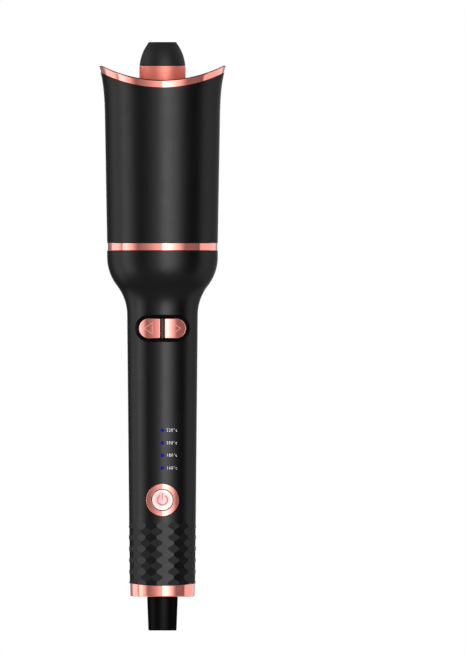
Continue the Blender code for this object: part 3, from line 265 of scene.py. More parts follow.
def roundCorners(points, steps=meshing["roundSteps"]):
    # points are (radius, level, rounding); a corner with a rounding becomes an arc
    path = []
    count = len(points)
    for i, (r, z, size) in enumerate(points):
        if not size:
            path.append((r, z))
            continue
        here = Vector((r, z))
        back = (Vector(points[i - 1][:2]) - here).normalized()
        onward = (Vector(points[(i + 1) % count][:2]) - here).normalized()
        half = back.angle(onward) / 2
        centre = here + (back + onward).normalized() * size / math.sin(half)
        first = here + back * size / math.tan(half) - centre
        last = here + onward * size / math.tan(half) - centre
        start = math.atan2(first.y, first.x)
        turn = (math.atan2(last.y, last.x) - start + math.pi) % (2 * math.pi) - math.pi
        path += [(centre.x + size * math.cos(start + turn * k / steps),
                  centre.y + size * math.sin(start + turn * k / steps)) for k in range(steps + 1)]
    return path

def turned(name, points, finish, columns):
    # a profile turned round Z; one that starts and ends on the axis is closed by poles
    rows = [[roundPoint(r, a, z) for a in turnsOf(columns)] if r > meshing["onAxis"] else [(0, 0, z)]
            for r, z in roundCorners(points)]
    return evenShading(lattice(name, rows, finish, looped=len(rows[0]) > 1))

def settle(piece, body, *replaced):
    if replaced:
        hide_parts(*replaced)
    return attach(piece, body)

def turnedPiece(name, points, finish, body, node, columns=96):
    # a turned piece on its body, in place of a CAD node
    return settle(turned(name, points, finish, columns), body, node)

def finalMesh(thing):
    # an object's mesh with its modifiers applied
    depsgraph = bpy.context.evaluated_depsgraph_get()
    depsgraph.update()
    return bpy.data.meshes.new_from_object(thing.evaluated_get(depsgraph))

def carve(piece, *tools):
    for tool in tools:
        modifier = piece.modifiers.new("carve", "BOOLEAN")
        modifier.operation = "DIFFERENCE"
        modifier.solver = "EXACT"
        modifier.object = tool
    mesh = finalMesh(piece)
    piece.modifiers.clear()
    piece.data = mesh
    for tool in tools:
        bpy.data.objects.remove(tool)
    return piece

def trueNormals(piece, wanted):
    # wanted(point, face) gives the exact direction of a surface there, or None to keep the mesh's own
    mesh = piece.data
    normals = [(0.0, 0.0, 0.0)] * len(mesh.loops)
    for polygon in mesh.polygons:
        for loop in polygon.loop_indices:
            point = mesh.vertices[mesh.loops[loop].vertex_index].co / mm
            exact = wanted(point, polygon)
            if exact is not None:
                normals[loop] = tuple(exact)
    mesh.normals_split_custom_set(normals)
    return piece

def roundNormal(point, face, surface, slope, near, facing):
    # the exact direction of a round wall of radius surface, or None off it and on its rounded edges
    radius = math.hypot(point.x, point.y)
    if abs(radius - surface) > near:
        return None
    exact = Vector((point.x / radius, point.y / radius, -slope)).normalized()
    return exact if exact.dot(face.normal) > facing else None

# Rings: the accent ring under the head and the tail ring with its dished upper edge. The head and
# the handle reach over the accent ring, so these sizes come before theirs
rings = {"columns": 144, "edgeRound": 0.12, "footRound": 0.6, "accentCover": 0.3, "accentProud": 0.1,
         "accentIn": 3.2, "tailRadius": 17.95, "tailTaper": 0.2, "tailWall": 4.3, "tailFloor": 3.3,
         "tailHeight": 6.0, "neckIn": 3.1, "seamArc": 132.0}

# Head: a slightly tapered wall with a flared rim, cut by a saddle along Y and a slot at the back.
# Columns of the wall are counted along its open edge; footTurns is where each part ends on the foot
head = {
    "height": 97.6, "footRadius": 30.5, "taper": 1.7, "flare": 2.92, "flareLength": 31.5, "flareCurve": 3.2,
    "shellWall": 2.2, "linerWall": 1.5, "gap": 0.3, "rimArc": 74.5, "rimDip": 8.2, "bandHeight": 4.0,
    "slotLow": 12.95, "slotHigh": 15.5, "slotRise": 23.9, "slotTrim": 3.3, "slotCurve": 1.8,
    "mouthFillet": 9.5, "edgeRound": 0.9, "shellRound": 0.05, "bandSeam": 0.015, "tipDrop": 0.3,
    "columns": {"front": 36, "back": 20, "fillet": 14, "side": 20, "bottom": 16},
    "footTurns": {"front": 90, "back": 127, "fillet": 134, "side": 158, "bottom": 180},
    "wallRows": 26, "bandRows": 4, "lineRise": 0.25, "lineDrop": 2, "liningNear": 0.05, "rimRounds": 8,
}
headFoot = bottomOf("head_shell")
headTop = headFoot + head["height"]
rimLow = headTop - head["rimDip"]

def headRadius(z):
    wall = head["footRadius"] + head["taper"] * (z - headFoot) / head["height"]
    start = headTop - head["flareLength"]
    share = min(1.0, max(0.0, (z - start) / (head["flareLength"] - head["tipDrop"])))
    return wall + head["flare"] * share ** head["flareCurve"]

def openEdge(inset, rim, grow, depth):
    # azimuth and level along the wall's open edge, from the front's middle round the right tip, into
    # the mouth and down to the foot of the slot; grow moves the edge into the wall
    columns = head["columns"]
    saddleCentre = rim + head["rimArc"]
    saddle = head["rimArc"] + grow
    out = head["slotHigh"] + head["mouthFillet"]
    reach = head["rimArc"] + head["mouthFillet"] + inset
    middle = saddleCentre - math.sqrt(reach ** 2 - out ** 2)
    fillet = head["mouthFillet"] + inset - grow
    low = head["slotLow"] - inset + grow
    slotFoot = headFoot + head["slotRise"]
    lean = math.atan(head["slotCurve"] * (head["slotHigh"] - head["slotLow"]) / (middle - slotFoot))
    meet = math.asin(out / reach)

    def onSaddle(a):
        z = rim
        for _ in range(head["rimRounds"]):
            x = (headRadius(z) - depth) * math.sin(a)
            arc = saddleCentre - math.sqrt(saddle ** 2 - x ** 2)
            z = min(arc, headTop - head["tipDrop"] - max(0.0, grow))
        return a, z

    def onSlot(x, z):
        return math.pi - math.asin(x / (headRadius(z) - depth)), z

    mouth = onSlot(saddle * math.sin(meet), saddleCentre - saddle * math.cos(meet))
    path = [onSaddle(math.pi / 2 * k / columns["front"]) for k in range(columns["front"])]
    path += [onSaddle(math.pi / 2 + (mouth[0] - math.pi / 2) * k / columns["back"])
             for k in range(columns["back"])]
    first = math.pi / 2 + meet
    last = math.pi - lean
    for k in range(columns["fillet"]):
        turn = first + (last - first) * k / columns["fillet"]
        path.append(onSlot(out + fillet * math.cos(turn), middle + fillet * math.sin(turn)))
    topX = out + fillet * math.cos(last)
    topZ = middle + fillet * math.sin(last)
    for k in range(columns["side"]):
        share = 1 - k / columns["side"]
        x = low + share ** head["slotCurve"] * (topX - low)
        path.append(onSlot(x, slotFoot + share * (topZ - slotFoot)))
    for k in range(columns["bottom"] + 1):
        turn = -math.pi / 2 * k / columns["bottom"]
        path.append(onSlot(low * math.cos(turn), slotFoot + low * math.sin(turn)))
    return path

def footAzimuths():
    # where each column of the wall stands on the head's foot
    turns = []
    start = 0
    for part, end in head["footTurns"].items():
        count = head["columns"][part]
        turns += [math.radians(start + (end - start) * k / count) for k in range(count)]
        start = end
    return turns + [math.pi]

def wholeRing(half, depth):
    # the right half and its mirror image as one closed row of points
    right = [roundPoint(headRadius(z) - depth, a, z) for a, z in half]
    left = [(-x, y, z) for x, y, z in reversed(right[1:-1])]
    return right + left

def edgeRing(inset, rim, grow, depth):
    return wholeRing(openEdge(inset, rim, grow, depth), depth)

def wallRows(edge, foot, depth):
    # rows from the foot up to an open edge, on the wall at one depth
    starts = footAzimuths()
    rows = []
    for i in range(head["wallRows"]):
        share = i / head["wallRows"]
        half = [(start + (a - start) * share, foot + (z - foot) * share)
                for start, (a, z) in zip(starts, edge)]
        rows.append(wholeRing(half, depth))
    return rows

def edgeRound(inset, rim, size, outer, inner):
    # the open edge's face between two depths, with both its corners rounded
    rows = [(top, outer + size * side) for side, top in quarter()]
    rows += [(top, inner - size * side) for side, top in reversed(quarter())]
    return [edgeRing(inset, rim, size * top, depth) for top, depth in rows]

def makeHeadShell():
    size = head["shellRound"]
    rim = rimLow - head["bandHeight"]
    wall = head["shellWall"]
    foot = headFoot - rings["accentCover"]
    rows = [wholeRing([(a, foot) for a in footAzimuths()], size)]
    rows += wallRows(openEdge(0, rim, size, 0), foot + size, 0)
    rows += edgeRound(0, rim, size, 0, wall)
    rows += reversed(wallRows(openEdge(0, rim, size, wall), foot, wall))
    return settle(lattice("headShell", rows, "satinBlack", looped=True), "housing", "head_shell")

def bandNormal(point, face):
    # the band reflects like an upright wall, flare or not
    return roundNormal(point, face, headRadius(point.z), 0, near=0.03, facing=0.93)

def makeChamberLiner():
    # a thin wall inside the shell that ends in the polished band round the rim and the slot
    size = head["edgeRound"]
    seam = head["bandSeam"]
    small = head["shellRound"]
    trim = head["slotTrim"]
    lowerRim = rimLow - head["bandHeight"] + seam
    wallOut = head["shellWall"] + head["gap"]
    wallIn = wallOut + head["linerWall"]
    foot = bottomOf("chamber_liner")
    rows = wallRows(openEdge(seam, lowerRim, 0, wallOut), foot, wallOut)
    rows.append(edgeRing(seam, lowerRim, 0, wallOut))
    rows += [edgeRing(seam, lowerRim, -small * top, small * side) for side, top in reversed(quarter())]
    lower = openEdge(seam, lowerRim, -small, 0)
    upper = openEdge(trim, rimLow, size, 0)
    for i in range(1, head["bandRows"]):
        share = i / head["bandRows"]
        half = [(a + (b - a) * share, y + (z - y) * share) for (a, y), (b, z) in zip(lower, upper)]
        rows.append(wholeRing(half, 0))
    rows += edgeRound(trim, rimLow, size, 0, wallIn)
    rows += reversed(wallRows(openEdge(trim, rimLow, size, wallIn), foot, wallIn))
    piece = lattice("chamberLiner", rows, "roseGold", looped=True)
    piece.data.materials.append(finishes["roseLining"])
    # the third finish is a painted dark reflection, given below to the upward faces of the band's top
    # rounding
    piece.data.materials.append(finishes["rimPaintedReflection"])
    lineLow = rimLow - head["lineDrop"]
    for polygon in piece.data.polygons:
        point = polygon.center / mm
        depth = headRadius(point.z) - math.hypot(point.x, point.y)
        if abs(depth - wallIn) < head["liningNear"]:
            polygon.material_index = 1
        elif depth < size and polygon.normal.z > head["lineRise"] and point.z > lineLow:
            polygon.material_index = 2
    return settle(trueNormals(piece, bandNormal), "housing", "chamber_liner")

makeHeadShell()
makeChamberLiner()
print("head made")

def seamLevel(level, x):
    return level + rings["seamArc"] - math.sqrt(rings["seamArc"] ** 2 - x ** 2)

def makeAccentRing():
    outer = reachOf("accent_ring") + rings["accentProud"]
    inner = reachOf("chamber_floor") - rings["accentIn"]
    size = rings["edgeRound"]
    low = topOf("handle_front") + rings["accentCover"] + shownSeam
    high = bottomOf("head_shell") - rings["accentCover"] - shownSeam
    points = [(outer, low, size), (outer, high, size), (inner, high, 0), (inner, low, 0)]
    return turnedPiece("accentRing", points, "roseGold", "housing", "accent_ring", rings["columns"])

def makeTailRing():
    floor = bottomOf("tail_ring")
    top = floor + rings["tailHeight"]
    ledge = floor + rings["tailFloor"]
    outer = rings["tailRadius"]
    inner = outer - rings["tailWall"]
    neck = reachOf("cord_sleeve") - rings["neckIn"]
    size = rings["edgeRound"]
    rows = []
    for r, z in roundCorners([(outer - rings["tailTaper"], floor, rings["footRound"]), (outer, top, size),
                              (inner, top, size), (inner, ledge, 0), (neck, ledge, 0), (neck, floor, 0)]):
        share = max(0.0, (z - ledge) / (top - ledge))
        around = [roundPoint(r, a, z) for a in turnsOf(rings["columns"])]
        rows.append([(x, y, z + share * seamLevel(0, x)) for x, y, z in around])
    return settle(evenShading(lattice("tailRing", rows, "roseGold", looped=True)), "housing", "tail_ring")

makeAccentRing()
makeTailRing()
print("rings made")

# Handle: a straight grip with flat facets low down and a shoulder of two equal arcs
handle = {
    "endRadius": 18.05, "neckRadius": 19.45, "topRadius": 30.5, "wall": 2.4, "collarWall": 4.2,
    "straight": 148.6, "shoulder": 32.0, "columns": 144, "shoulderRows": 22, "straightRows": 18,
    "gripColumns": 18, "gripRows": 12, "gripRow": 3.15, "gripHeight": 34.25, "gripSlant": 2.0,
    "gripSink": 0.1, "gripBlend": 2.7, "footGap": 0.3, "collarRound": 0.3, "seamColumns": 47,
}
handleFoot = bottomOf("tail_ring") + rings["tailHeight"] + handle["footGap"]
handleTop = topOf("handle_front") + rings["accentCover"]
gripTop = handleFoot + handle["gripHeight"]
shoulderFoot = handleFoot + handle["straight"]
shoulderTop = shoulderFoot + handle["shoulder"]

def shoulderRadius(z, low, high):
    arc = handle["shoulder"] / 2 / math.sin(2 * math.atan((high - low) / handle["shoulder"]))
    if z < shoulderFoot + handle["shoulder"] / 2:
        return low + arc - math.sqrt(arc ** 2 - (z - shoulderFoot) ** 2)
    return high - arc + math.sqrt(arc ** 2 - (shoulderTop - z) ** 2)

def handleRadius(z):
    if z >= shoulderTop:
        return handle["topRadius"]
    if z > shoulderFoot:
        return shoulderRadius(z, handle["neckRadius"], handle["topRadius"])
    share = (z - handleFoot) / (shoulderFoot - handleFoot)
    return handle["endRadius"] + share * (handle["neckRadius"] - handle["endRadius"])

def boreRadius(z):
    bore = handle["topRadius"] - handle["collarWall"]
    if z >= shoulderTop:
        return bore
    if z > shoulderFoot:
        return shoulderRadius(z, handle["neckRadius"] - handle["wall"], bore)
    return handleRadius(z) - handle["wall"]

def slopeAt(z, reach):
    # how fast the handle widens upwards
    return (handleRadius(z + reach) - handleRadius(z - reach)) / (2 * reach)

def frontPoint(x, z, depth=0.0):
    # a point of the handle's front at one depth under its surface
    return x, -math.sqrt((handleRadius(z) - depth) ** 2 - x ** 2), z

def handleNormal(point, face):
    # facets stay flat, and the smooth wall above them gets its exact direction
    if face.center.z / mm < gripTop - handle["gripSlant"] / 2:
        return face.normal
    slope = slopeAt(point.z, reach=0.05)
    return roundNormal(point, face, handleRadius(point.z), slope, near=0.02, facing=0.9)

def gripLine(bm, row, plain):
    # zigzag under a row of facets: the corner at each half column is low on one side and high on the
    # other, and the slants cross halfway between
    count = 2 * handle["gripColumns"]
    turn = 2 * math.pi / count
    z = gripTop - (handle["gripRows"] - row) * handle["gripRow"]

    def corner(k, level, grow):
        radius = handleRadius(level) if plain else (handleRadius(level) - handle["gripSink"]) * grow
        return vertexRow(bm, [roundPoint(radius, k * turn, level)])[0]

    levels = [z + handle["gripSlant"] / 2 * (1 if (k + row) % 2 == 0 else -1) for k in range(count)]
    low = [corner(k, levels[k], 1.0) for k in range(count)]
    if plain:
        return low, low, None
    high = [corner(k, levels[k], 1 / math.cos(turn)) for k in range(count)]
    middle = [corner(k + 0.5, z, 1 / math.cos(turn / 2)) for k in range(count)]
    for k in range(count):
        after = (k + 1) % count
        bm.faces.new((low[k], high[k], middle[k]))
        bm.faces.new((low[after], middle[k], high[after]))
    return low, high, middle

def gripFacet(bm, below, above, k):
    count = 2 * handle["gripColumns"]
    before = (k - 1) % count
    after = (k + 1) % count
    edge = [below[0][k], below[2] and below[2][k], below[1][after], above[1][after],
            above[2] and above[2][k], above[0][k], above[2] and above[2][before], above[1][before],
            below[1][before], below[2] and below[2][before]]
    bm.faces.new([v for v in edge if v])

def handleBody():
    bm = bmesh.new()
    rows = handle["gripRows"]
    lines = [gripLine(bm, row, row in (0, rows)) for row in range(rows + 1)]
    for row in range(rows):
        for k in range(1 - row % 2, 2 * handle["gripColumns"], 2):
            gripFacet(bm, lines[row], lines[row + 1], k)
    columns = handle["columns"]
    start = gripTop + handle["gripBlend"]
    long, bent = handle["straightRows"], handle["shoulderRows"]
    straight = [start + (shoulderFoot - start) * i / long for i in range(long)]
    bend = [shoulderFoot + handle["shoulder"] * i / bent for i in range(bent + 1)]
    size = handle["collarRound"]
    foot = gripTop - (rows + 1) * handle["gripRow"]
    outside = [(handleRadius(z), z) for z in straight + bend]
    outside += [(handle["topRadius"] - size * side, handleTop - size * top) for side, top in quarter()]
    inside = [(boreRadius(z), z) for z in [handleTop] + bend[::-1] + [foot]]
    loops = [vertexRow(bm, [roundPoint(r, a, z) for a in turnsOf(columns)]) for r, z in outside + inside]
    for lower, upper in zip(loops, loops[1:]):
        bridge(bm, lower, upper)
    fineStep = columns // (2 * handle["gripColumns"])
    for line, fine in ((lines[-1][0], loops[0]), (lines[0][0], loops[-1])):
        for k in range(len(line)):
            edge = [fine[(k * fineStep + i) % columns] for i in range(fineStep, -1, -1)]
            bm.faces.new([line[k], line[(k + 1) % len(line)]] + edge)
    return bm

def prismY(name, outline, y0, y1):
    # a straight prism along Y from an outline in x and z
    return lattice(name, [[(x, y, z) for x, z in outline] for y in (y0, y1)], "recessPaintedShade", capped=True)

def circleXZ(x, z, radius, steps, first=0.5):
    return [(x + radius * math.cos(a), z + radius * math.sin(a)) for a in turnsOf(steps, first)]

def pillXZ(z, length, height, steps=24):
    out = (length - height) / 2
    outline = []
    for side in (1, -1):
        for k in range(steps + 1):
            a = -math.pi / 2 + math.pi * k / steps
            outline.append((side * (out + height / 2 * math.cos(a)), z + side * height / 2 * math.sin(a)))
    return outline

# The front's controls share these sizes with the openings in the handle
controls = {"bezelRadius": 8.92, "bezelFit": 0.08, "buttonRadius": 5.75, "pillLength": 25.9,
            "pillHeight": 10.9, "frameWidth": 2.0, "frameFit": 0.1, "lampRadius": 0.95, "lampFit": 0.06}
screwLook = {"radius": 1.75, "well": 2.25, "sunk": 0.3, "rise": 1.5, "collar": 0.5, "edge": 0.3, "fit": 0.02,
             "columns": 40, "driveReach": 1.2, "driveHalf": 0.3, "driveDepth": 0.6, "driveOut": 3}
lamps = ("lamp_160", "lamp_180", "lamp_200", "lamp_220")
screws = {"screw_left": "screwLeft", "screw_right": "screwRight", "screw_grip": "screwGrip"}
powerZ = middleOf("power_bezel")[2]
directionZ = middleOf("direction_frame")[2]
past = 5  # how far a cutter reaches past what it cuts

def screwTop(node):
    # the face of a screw lies a little under the lowest side of the wall around it
    x, _, z = middleOf(node)
    around = circleXZ(x, z, screwLook["radius"], steps=12, first=0)
    return min(math.sqrt(handleRadius(v) ** 2 - u ** 2) for u, v in around) - screwLook["sunk"]

def tailCutter(name):
    # everything under the dished seam
    half = handle["neckRadius"] + past
    foot = bottomOf("tail_ring") + rings["tailHeight"] + shownSeam
    count = handle["seamColumns"]
    outline = [(x, seamLevel(foot, x)) for x in (half * (2 * i / count - 1) for i in range(count + 1))]
    return prismY(name, outline + [(half, -past), (-half, -past)], -half, half)

def makeHandleHalf(name, side, node, tools):
    # keeps the front (-1) or rear (+1) half, short of the seam, and closes it along the seam
    bm = handleBody()
    cut = bmesh.ops.bisect_plane(bm, geom=bm.verts[:] + bm.edges[:] + bm.faces[:], dist=meshing["cutNear"],
                                 plane_co=(0, side * shownSeam / 2 * mm, 0), plane_no=(0, side, 0),
                                 clear_inner=True)
    bmesh.ops.holes_fill(bm, edges=[e for e in cut["geom_cut"] if isinstance(e, bmesh.types.BMEdge)])
    piece = carve(meshPiece(name, bm, "satinBlack"), tailCutter(name + "Tail"), *tools)
    return settle(trueNormals(piece, handleNormal), "housing", node)

def frontOpenings():
    grow = 2 * (controls["frameWidth"] + controls["frameFit"])
    outlines = {
        "frameHole": pillXZ(directionZ, controls["pillLength"] + grow, controls["pillHeight"] + grow),
        "powerHole": circleXZ(0, powerZ, controls["bezelRadius"] + controls["bezelFit"], steps=96),
    }
    for node in lamps:
        radius = controls["lampRadius"] + controls["lampFit"]
        outlines[node + "Hole"] = circleXZ(0, middleOf(node)[2], radius, steps=32)
    return [prismY(name, outline, -handle["topRadius"] - past, -past) for name, outline in outlines.items()]

def screwWells():
    wells = []
    for node in screws:
        x, _, z = middleOf(node)
        foot = screwTop(node) - screwLook["rise"] - screwLook["fit"]
        outline = circleXZ(x, z, screwLook["well"], steps=48)
        wells.append(prismY(node + "Well", outline, foot, handle["topRadius"]))
    return wells

makeHandleHalf("handleFront", -1, "handle_front", frontOpenings())
makeHandleHalf("handleRear", 1, "handle_rear", screwWells())
print("handle made")

# Controls on the front. Everything follows the handle's round surface: heights are over it
def insetOutline(outline, amount):
    # moves a closed outline inwards along its own corners
    middle = Vector(middleXZ(outline))
    moved = []
    for k, point in enumerate(outline):
        here = Vector(point)
        back = (here - Vector(outline[k - 1])).normalized()
        onward = (Vector(outline[(k + 1) % len(outline)]) - here).normalized()
        sides = [Vector((-way.y, way.x)) for way in (back, onward)]
        sides = [side if side.dot(middle - here) > 0 else -side for side in sides]
        shift = (sides[0] + sides[1]) / (1 + sides[0].dot(sides[1]))
        moved.append(tuple(here + shift * amount))
    return moved

def middleXZ(outline):
    return sum(x for x, _ in outline) / len(outline), sum(z for _, z in outline) / len(outline)

def closeSteps(outline, step=0.7):
    # adds points along long straight edges so that they can follow the handle
    path = []
    for k, point in enumerate(outline):
        here = Vector(outline[k - 1])
        there = Vector(point)
        count = max(1, math.ceil((there - here).length / step))
        path += [tuple(here + (there - here) * n / count) for n in range(1, count + 1)]
    return path

def frontCap(name, outline, height, edge, back, finish, crown=0.0, faceRows=5, faceInset=1.15):
    # a closed button whose face follows the handle, with a rounded edge and an optional crown
    outline = closeSteps(outline)
    x0, z0 = middleXZ(outline)
    rows = [[frontPoint(x0, z0, back)], [frontPoint(x, z, back) for x, z in outline]]
    for side, top in quarter():
        rows.append([frontPoint(x, z, edge * top - height) for x, z in insetOutline(outline, edge * side)])
    face = insetOutline(outline, edge * faceInset)
    for i in range(faceRows, 0, -1):
        share = i / faceRows
        depth = -height - crown * (1 - share ** 2)
        rows.append([frontPoint(x0 + share * (x - x0), z0 + share * (z - z0), depth) for x, z in face])
    rows.append([frontPoint(x0, z0, -height - crown)])
    return lattice(name, rows, finish)

def frontNormal(height):
    # exact direction of a face that follows the handle at one height
    def wanted(point, face):
        surface = handleRadius(point.z) + height
        if point.y > 0:
            return None
        return roundNormal(point, face, surface, slopeAt(point.z, reach=0.5), near=0.012, facing=0.97)
    return wanted

def ribbon(name, line, width, low, high, finish, closed=False):
    # a thin strip along a line on the front, between two heights
    rows = []
    for k, point in enumerate(line):
        here = Vector(point)
        before = Vector(line[k - 1]) if closed or k else here
        after = Vector(line[(k + 1) % len(line)]) if closed or k < len(line) - 1 else here
        back = (here - before).normalized() if before != here else (after - here).normalized()
        onward = (after - here).normalized() if after != here else back
        across = (back + onward).normalized()
        side = Vector((-across.y, across.x)) * width / 2 / max(meshing["mitre"], across.dot(onward))
        left, right = here + side, here - side
        rows.append([frontPoint(*left, -low), frontPoint(*right, -low),
                     frontPoint(*right, -high), frontPoint(*left, -high)])
    return lattice(name, rows, finish, looped=closed, capped=not closed)

# Engraved signs: how far a cut reaches out, and how the thin strip lies on its floor. The strip is painted
# light: painted shade in the power sign, a painted highlight in the direction triangles
engraving = {"out": 3, "thick": 0.1, "rise": 0.05, "fit": 0.02}
powerKey = {"bezelHeight": 0.25, "bezelDepth": 3.2, "bezelRound": 0.2, "bezelColumns": 96, "gap": 0.38,
            "height": 0.22, "crown": 0.1, "keyRound": 0.4, "back": 2.2, "signRadius": 2.8, "signWidth": 0.42,
            "signFloor": 0.15, "signGap": 28, "signSteps": 40, "barLow": 0.3, "barHigh": 3.4,
            "barSteps": 4}

def makePowerBezel():
    outer = controls["bezelRadius"]
    inner = controls["buttonRadius"] + powerKey["gap"]
    top, deep = powerKey["bezelHeight"], -powerKey["bezelDepth"]
    size = powerKey["bezelRound"]
    points = [(outer, deep, 0), (outer, top, size), (inner, top, size / 2), (inner, deep, 0)]
    around = turnsOf(powerKey["bezelColumns"])
    rows = [[frontPoint(r * math.cos(a), powerZ + r * math.sin(a), -height) for a in around]
            for r, height in roundCorners(points, steps=3)]
    piece = lattice("powerBezel", rows, "roseGold", looped=True)
    return settle(trueNormals(piece, frontNormal(top)), "housing", "power_bezel")

def powerSign(name, low, high, trim, finish):
    radius = powerKey["signRadius"]
    steps = powerKey["signSteps"]
    start = math.radians(90 + powerKey["signGap"])
    sweep = math.radians(360 - 2 * powerKey["signGap"])
    turns = [start + sweep * k / steps for k in range(steps + 1)]
    lines = {"Arc": [(radius * math.cos(a), powerZ + radius * math.sin(a)) for a in turns]}
    rise = powerKey["barHigh"] - powerKey["barLow"]
    steps = powerKey["barSteps"]
    lines["Bar"] = [(0, powerZ + powerKey["barLow"] + rise * k / steps) for k in range(steps + 1)]
    width = powerKey["signWidth"] - trim
    return [ribbon(name + part, line, width, low, high, finish) for part, line in lines.items()]

def makePowerButton():
    outline = circleXZ(0, powerZ, controls["buttonRadius"], steps=72)
    piece = frontCap("powerButton", outline, powerKey["height"], powerKey["keyRound"], powerKey["back"],
                     "blushEnamel", powerKey["crown"])
    floor = powerKey["signFloor"]
    carve(piece, *powerSign("signCut", floor, engraving["out"], 0, "blushEnamel"))
    settle(piece, "power_key", "power_button")
    # the dark strips on the groove floor are painted shade of the engraved sign
    for part in powerSign("powerSign", floor - engraving["thick"], floor + engraving["rise"],
                          engraving["fit"], "engravedShade"):
        settle(part, "power_key")

# Direction keys in their sunk dark surround, which slopes down to them; its near-black colour is painted
# shade of the recess
direction = {"middle": 1.22, "height": 0.05, "edge": 0.45, "cornerRound": 0.6, "back": 2.2, "steps": 36,
             "lineWidth": 0.36, "lineFloor": -0.09, "highlightRise": 0.06, "baseOut": 5.6, "apexOut": 10.0,
             "halfHeight": 3.0, "lineSteps": 8}
surround = {"depth": 2.6, "top": 0.12, "lip": 0.06, "slope": [(0.75, 0.5), (0.35, 0.85), (0.15, 1.1)],
            "sideSteps": 24}
rib = {"half": 0.85, "cornerRound": 0.4, "height": -0.1, "edge": 0.25, "back": 2.3}

def makeDirectionFrame():
    length, tall, wide = controls["pillLength"], controls["pillHeight"], controls["frameWidth"]
    deep, top, steps = surround["depth"], surround["top"], surround["sideSteps"]
    section = [(wide, deep), (wide, top), (wide - top, surround["lip"])] + surround["slope"]
    section.append((section[-1][0], deep))
    rows = []
    for grow, depth in section:
        arc = pillXZ(directionZ, length + 2 * grow, tall + 2 * grow, steps=32)
        row = []
        for k, (x, z) in enumerate(arc):
            row.append((x, z))
            x2, z2 = arc[(k + 1) % len(arc)]
            if abs(x2 - x) > (length - tall) / 2:  # a long straight side
                row += [(x + (x2 - x) * n / steps, z + (z2 - z) * n / steps) for n in range(1, steps)]
        rows.append([frontPoint(x, z, depth) for x, z in row])
    return settle(lattice("directionFrame", rows, "recessPaintedShade", looped=True), "housing", "direction_frame")

def makeDirectionButton(name, side, body, node):
    half = controls["pillHeight"] / 2
    out = controls["pillLength"] / 2 - half
    steps = direction["steps"]
    spots = [(direction["middle"], directionZ - half, direction["cornerRound"])]
    spots += [(out + half * math.cos(a), directionZ + half * math.sin(a), 0)
              for a in (-math.pi / 2 + math.pi * k / steps for k in range(steps + 1))]
    spots.append((direction["middle"], directionZ + half, direction["cornerRound"]))
    outline = [(side * x, z) for x, z in roundCorners(spots)]
    height = direction["height"]
    piece = frontCap(name, outline, height, direction["edge"], direction["back"], "roseGold")
    base, apex = side * direction["baseOut"], side * direction["apexOut"]
    tops = [(base, directionZ - direction["halfHeight"]), (apex, directionZ),
            (base, directionZ + direction["halfHeight"])]
    steps = direction["lineSteps"]
    line = [(a[0] + (b[0] - a[0]) * k / steps, a[1] + (b[1] - a[1]) * k / steps)
            for a, b in zip(tops, tops[1:] + tops[:1]) for k in range(steps)]
    floor, width = direction["lineFloor"], direction["lineWidth"]
    carve(piece, ribbon("triangleCut", line, width, floor, engraving["out"], "roseGold", closed=True))
    settle(trueNormals(piece, frontNormal(height)), body, node)
    # a painted highlight: a light strip on the groove floor stands in for light caught by the groove's walls
    highlightStrip = ribbon(name + "PaintedHighlight", line, width - engraving["fit"], floor - engraving["thick"],
                  floor + direction["highlightRise"], "paintedGrooveHighlight", closed=True)
    return settle(highlightStrip, body)

def makeButtonDivider():
    wide, half = rib["half"], controls["pillHeight"] / 2
    spots = [(x * wide, directionZ + z * half, rib["cornerRound"])
             for x, z in ((-1, -1), (1, -1), (1, 1), (-1, 1))]
    piece = frontCap("buttonDivider", roundCorners(spots), rib["height"], rib["edge"], rib["back"],
                     "slateRib")
    return settle(piece, "housing", "button_divider")

lampLook = {"height": 0.02, "crown": 0.14, "edge": 0.15, "back": 3.0}
labelLook = {"left": 2.3, "leftOfOne": 2.7, "right": 7.95, "height": 1.75, "raised": 0.12, "weight": -0.01,
             "spacing": 1.3, "ink": 0.03, "curveSteps": 3}

def makeLamp(node):
    outline = circleXZ(0, middleOf(node)[2], controls["lampRadius"], steps=32)
    piece = frontCap("lampLens" + node[-3:], outline, lampLook["height"], lampLook["edge"], lampLook["back"],
                     "blueLens", lampLook["crown"])
    return settle(piece, "housing", node)

def makeLabel(node):
    # the temperature beside a lamp, as a thin printed layer with a painted glow
    degrees = node[-3:]
    curve = bpy.data.curves.new("label", "FONT")
    curve.body = degrees + "\u00b0c"
    curve.extrude = 0.5
    curve.offset = labelLook["weight"]
    curve.space_character = labelLook["spacing"]
    curve.resolution_u = labelLook["curveSteps"]
    maker = addObject("label", curve)
    bm = bmesh.new()
    bm.from_mesh(finalMesh(maker))
    bpy.data.objects.remove(maker)
    bmesh.ops.remove_doubles(bm, verts=bm.verts, dist=meshing["weldNear"])
    xs = [v.co.x for v in bm.verts]
    ys = [v.co.y for v in bm.verts]
    left = labelLook["leftOfOne" if degrees[0] == "1" else "left"]
    middle = middleOf(node)[2] + labelLook["raised"]
    for vertex in bm.verts:
        across = (vertex.co.x - min(xs)) / (max(xs) - min(xs))
        up = (vertex.co.y - min(ys)) / (max(ys) - min(ys)) - 0.5
        height = labelLook["ink"] if vertex.co.z > 0 else -labelLook["ink"]
        x = left + (labelLook["right"] - left) * across
        vertex.co = [c * mm for c in frontPoint(x, middle + labelLook["height"] * up, -height)]
    return settle(meshPiece("label" + degrees, bm, "printedGreyPaintedGlow"), "housing")

makePowerBezel()
makePowerButton()
makeDirectionFrame()
makeDirectionButton("directionLeft", -1, "left_button", "button_left")
makeDirectionButton("directionRight", 1, "right_button", "button_right")
makeButtonDivider()
for node in lamps:
    makeLamp(node)
    makeLabel(node)
print("controls made")

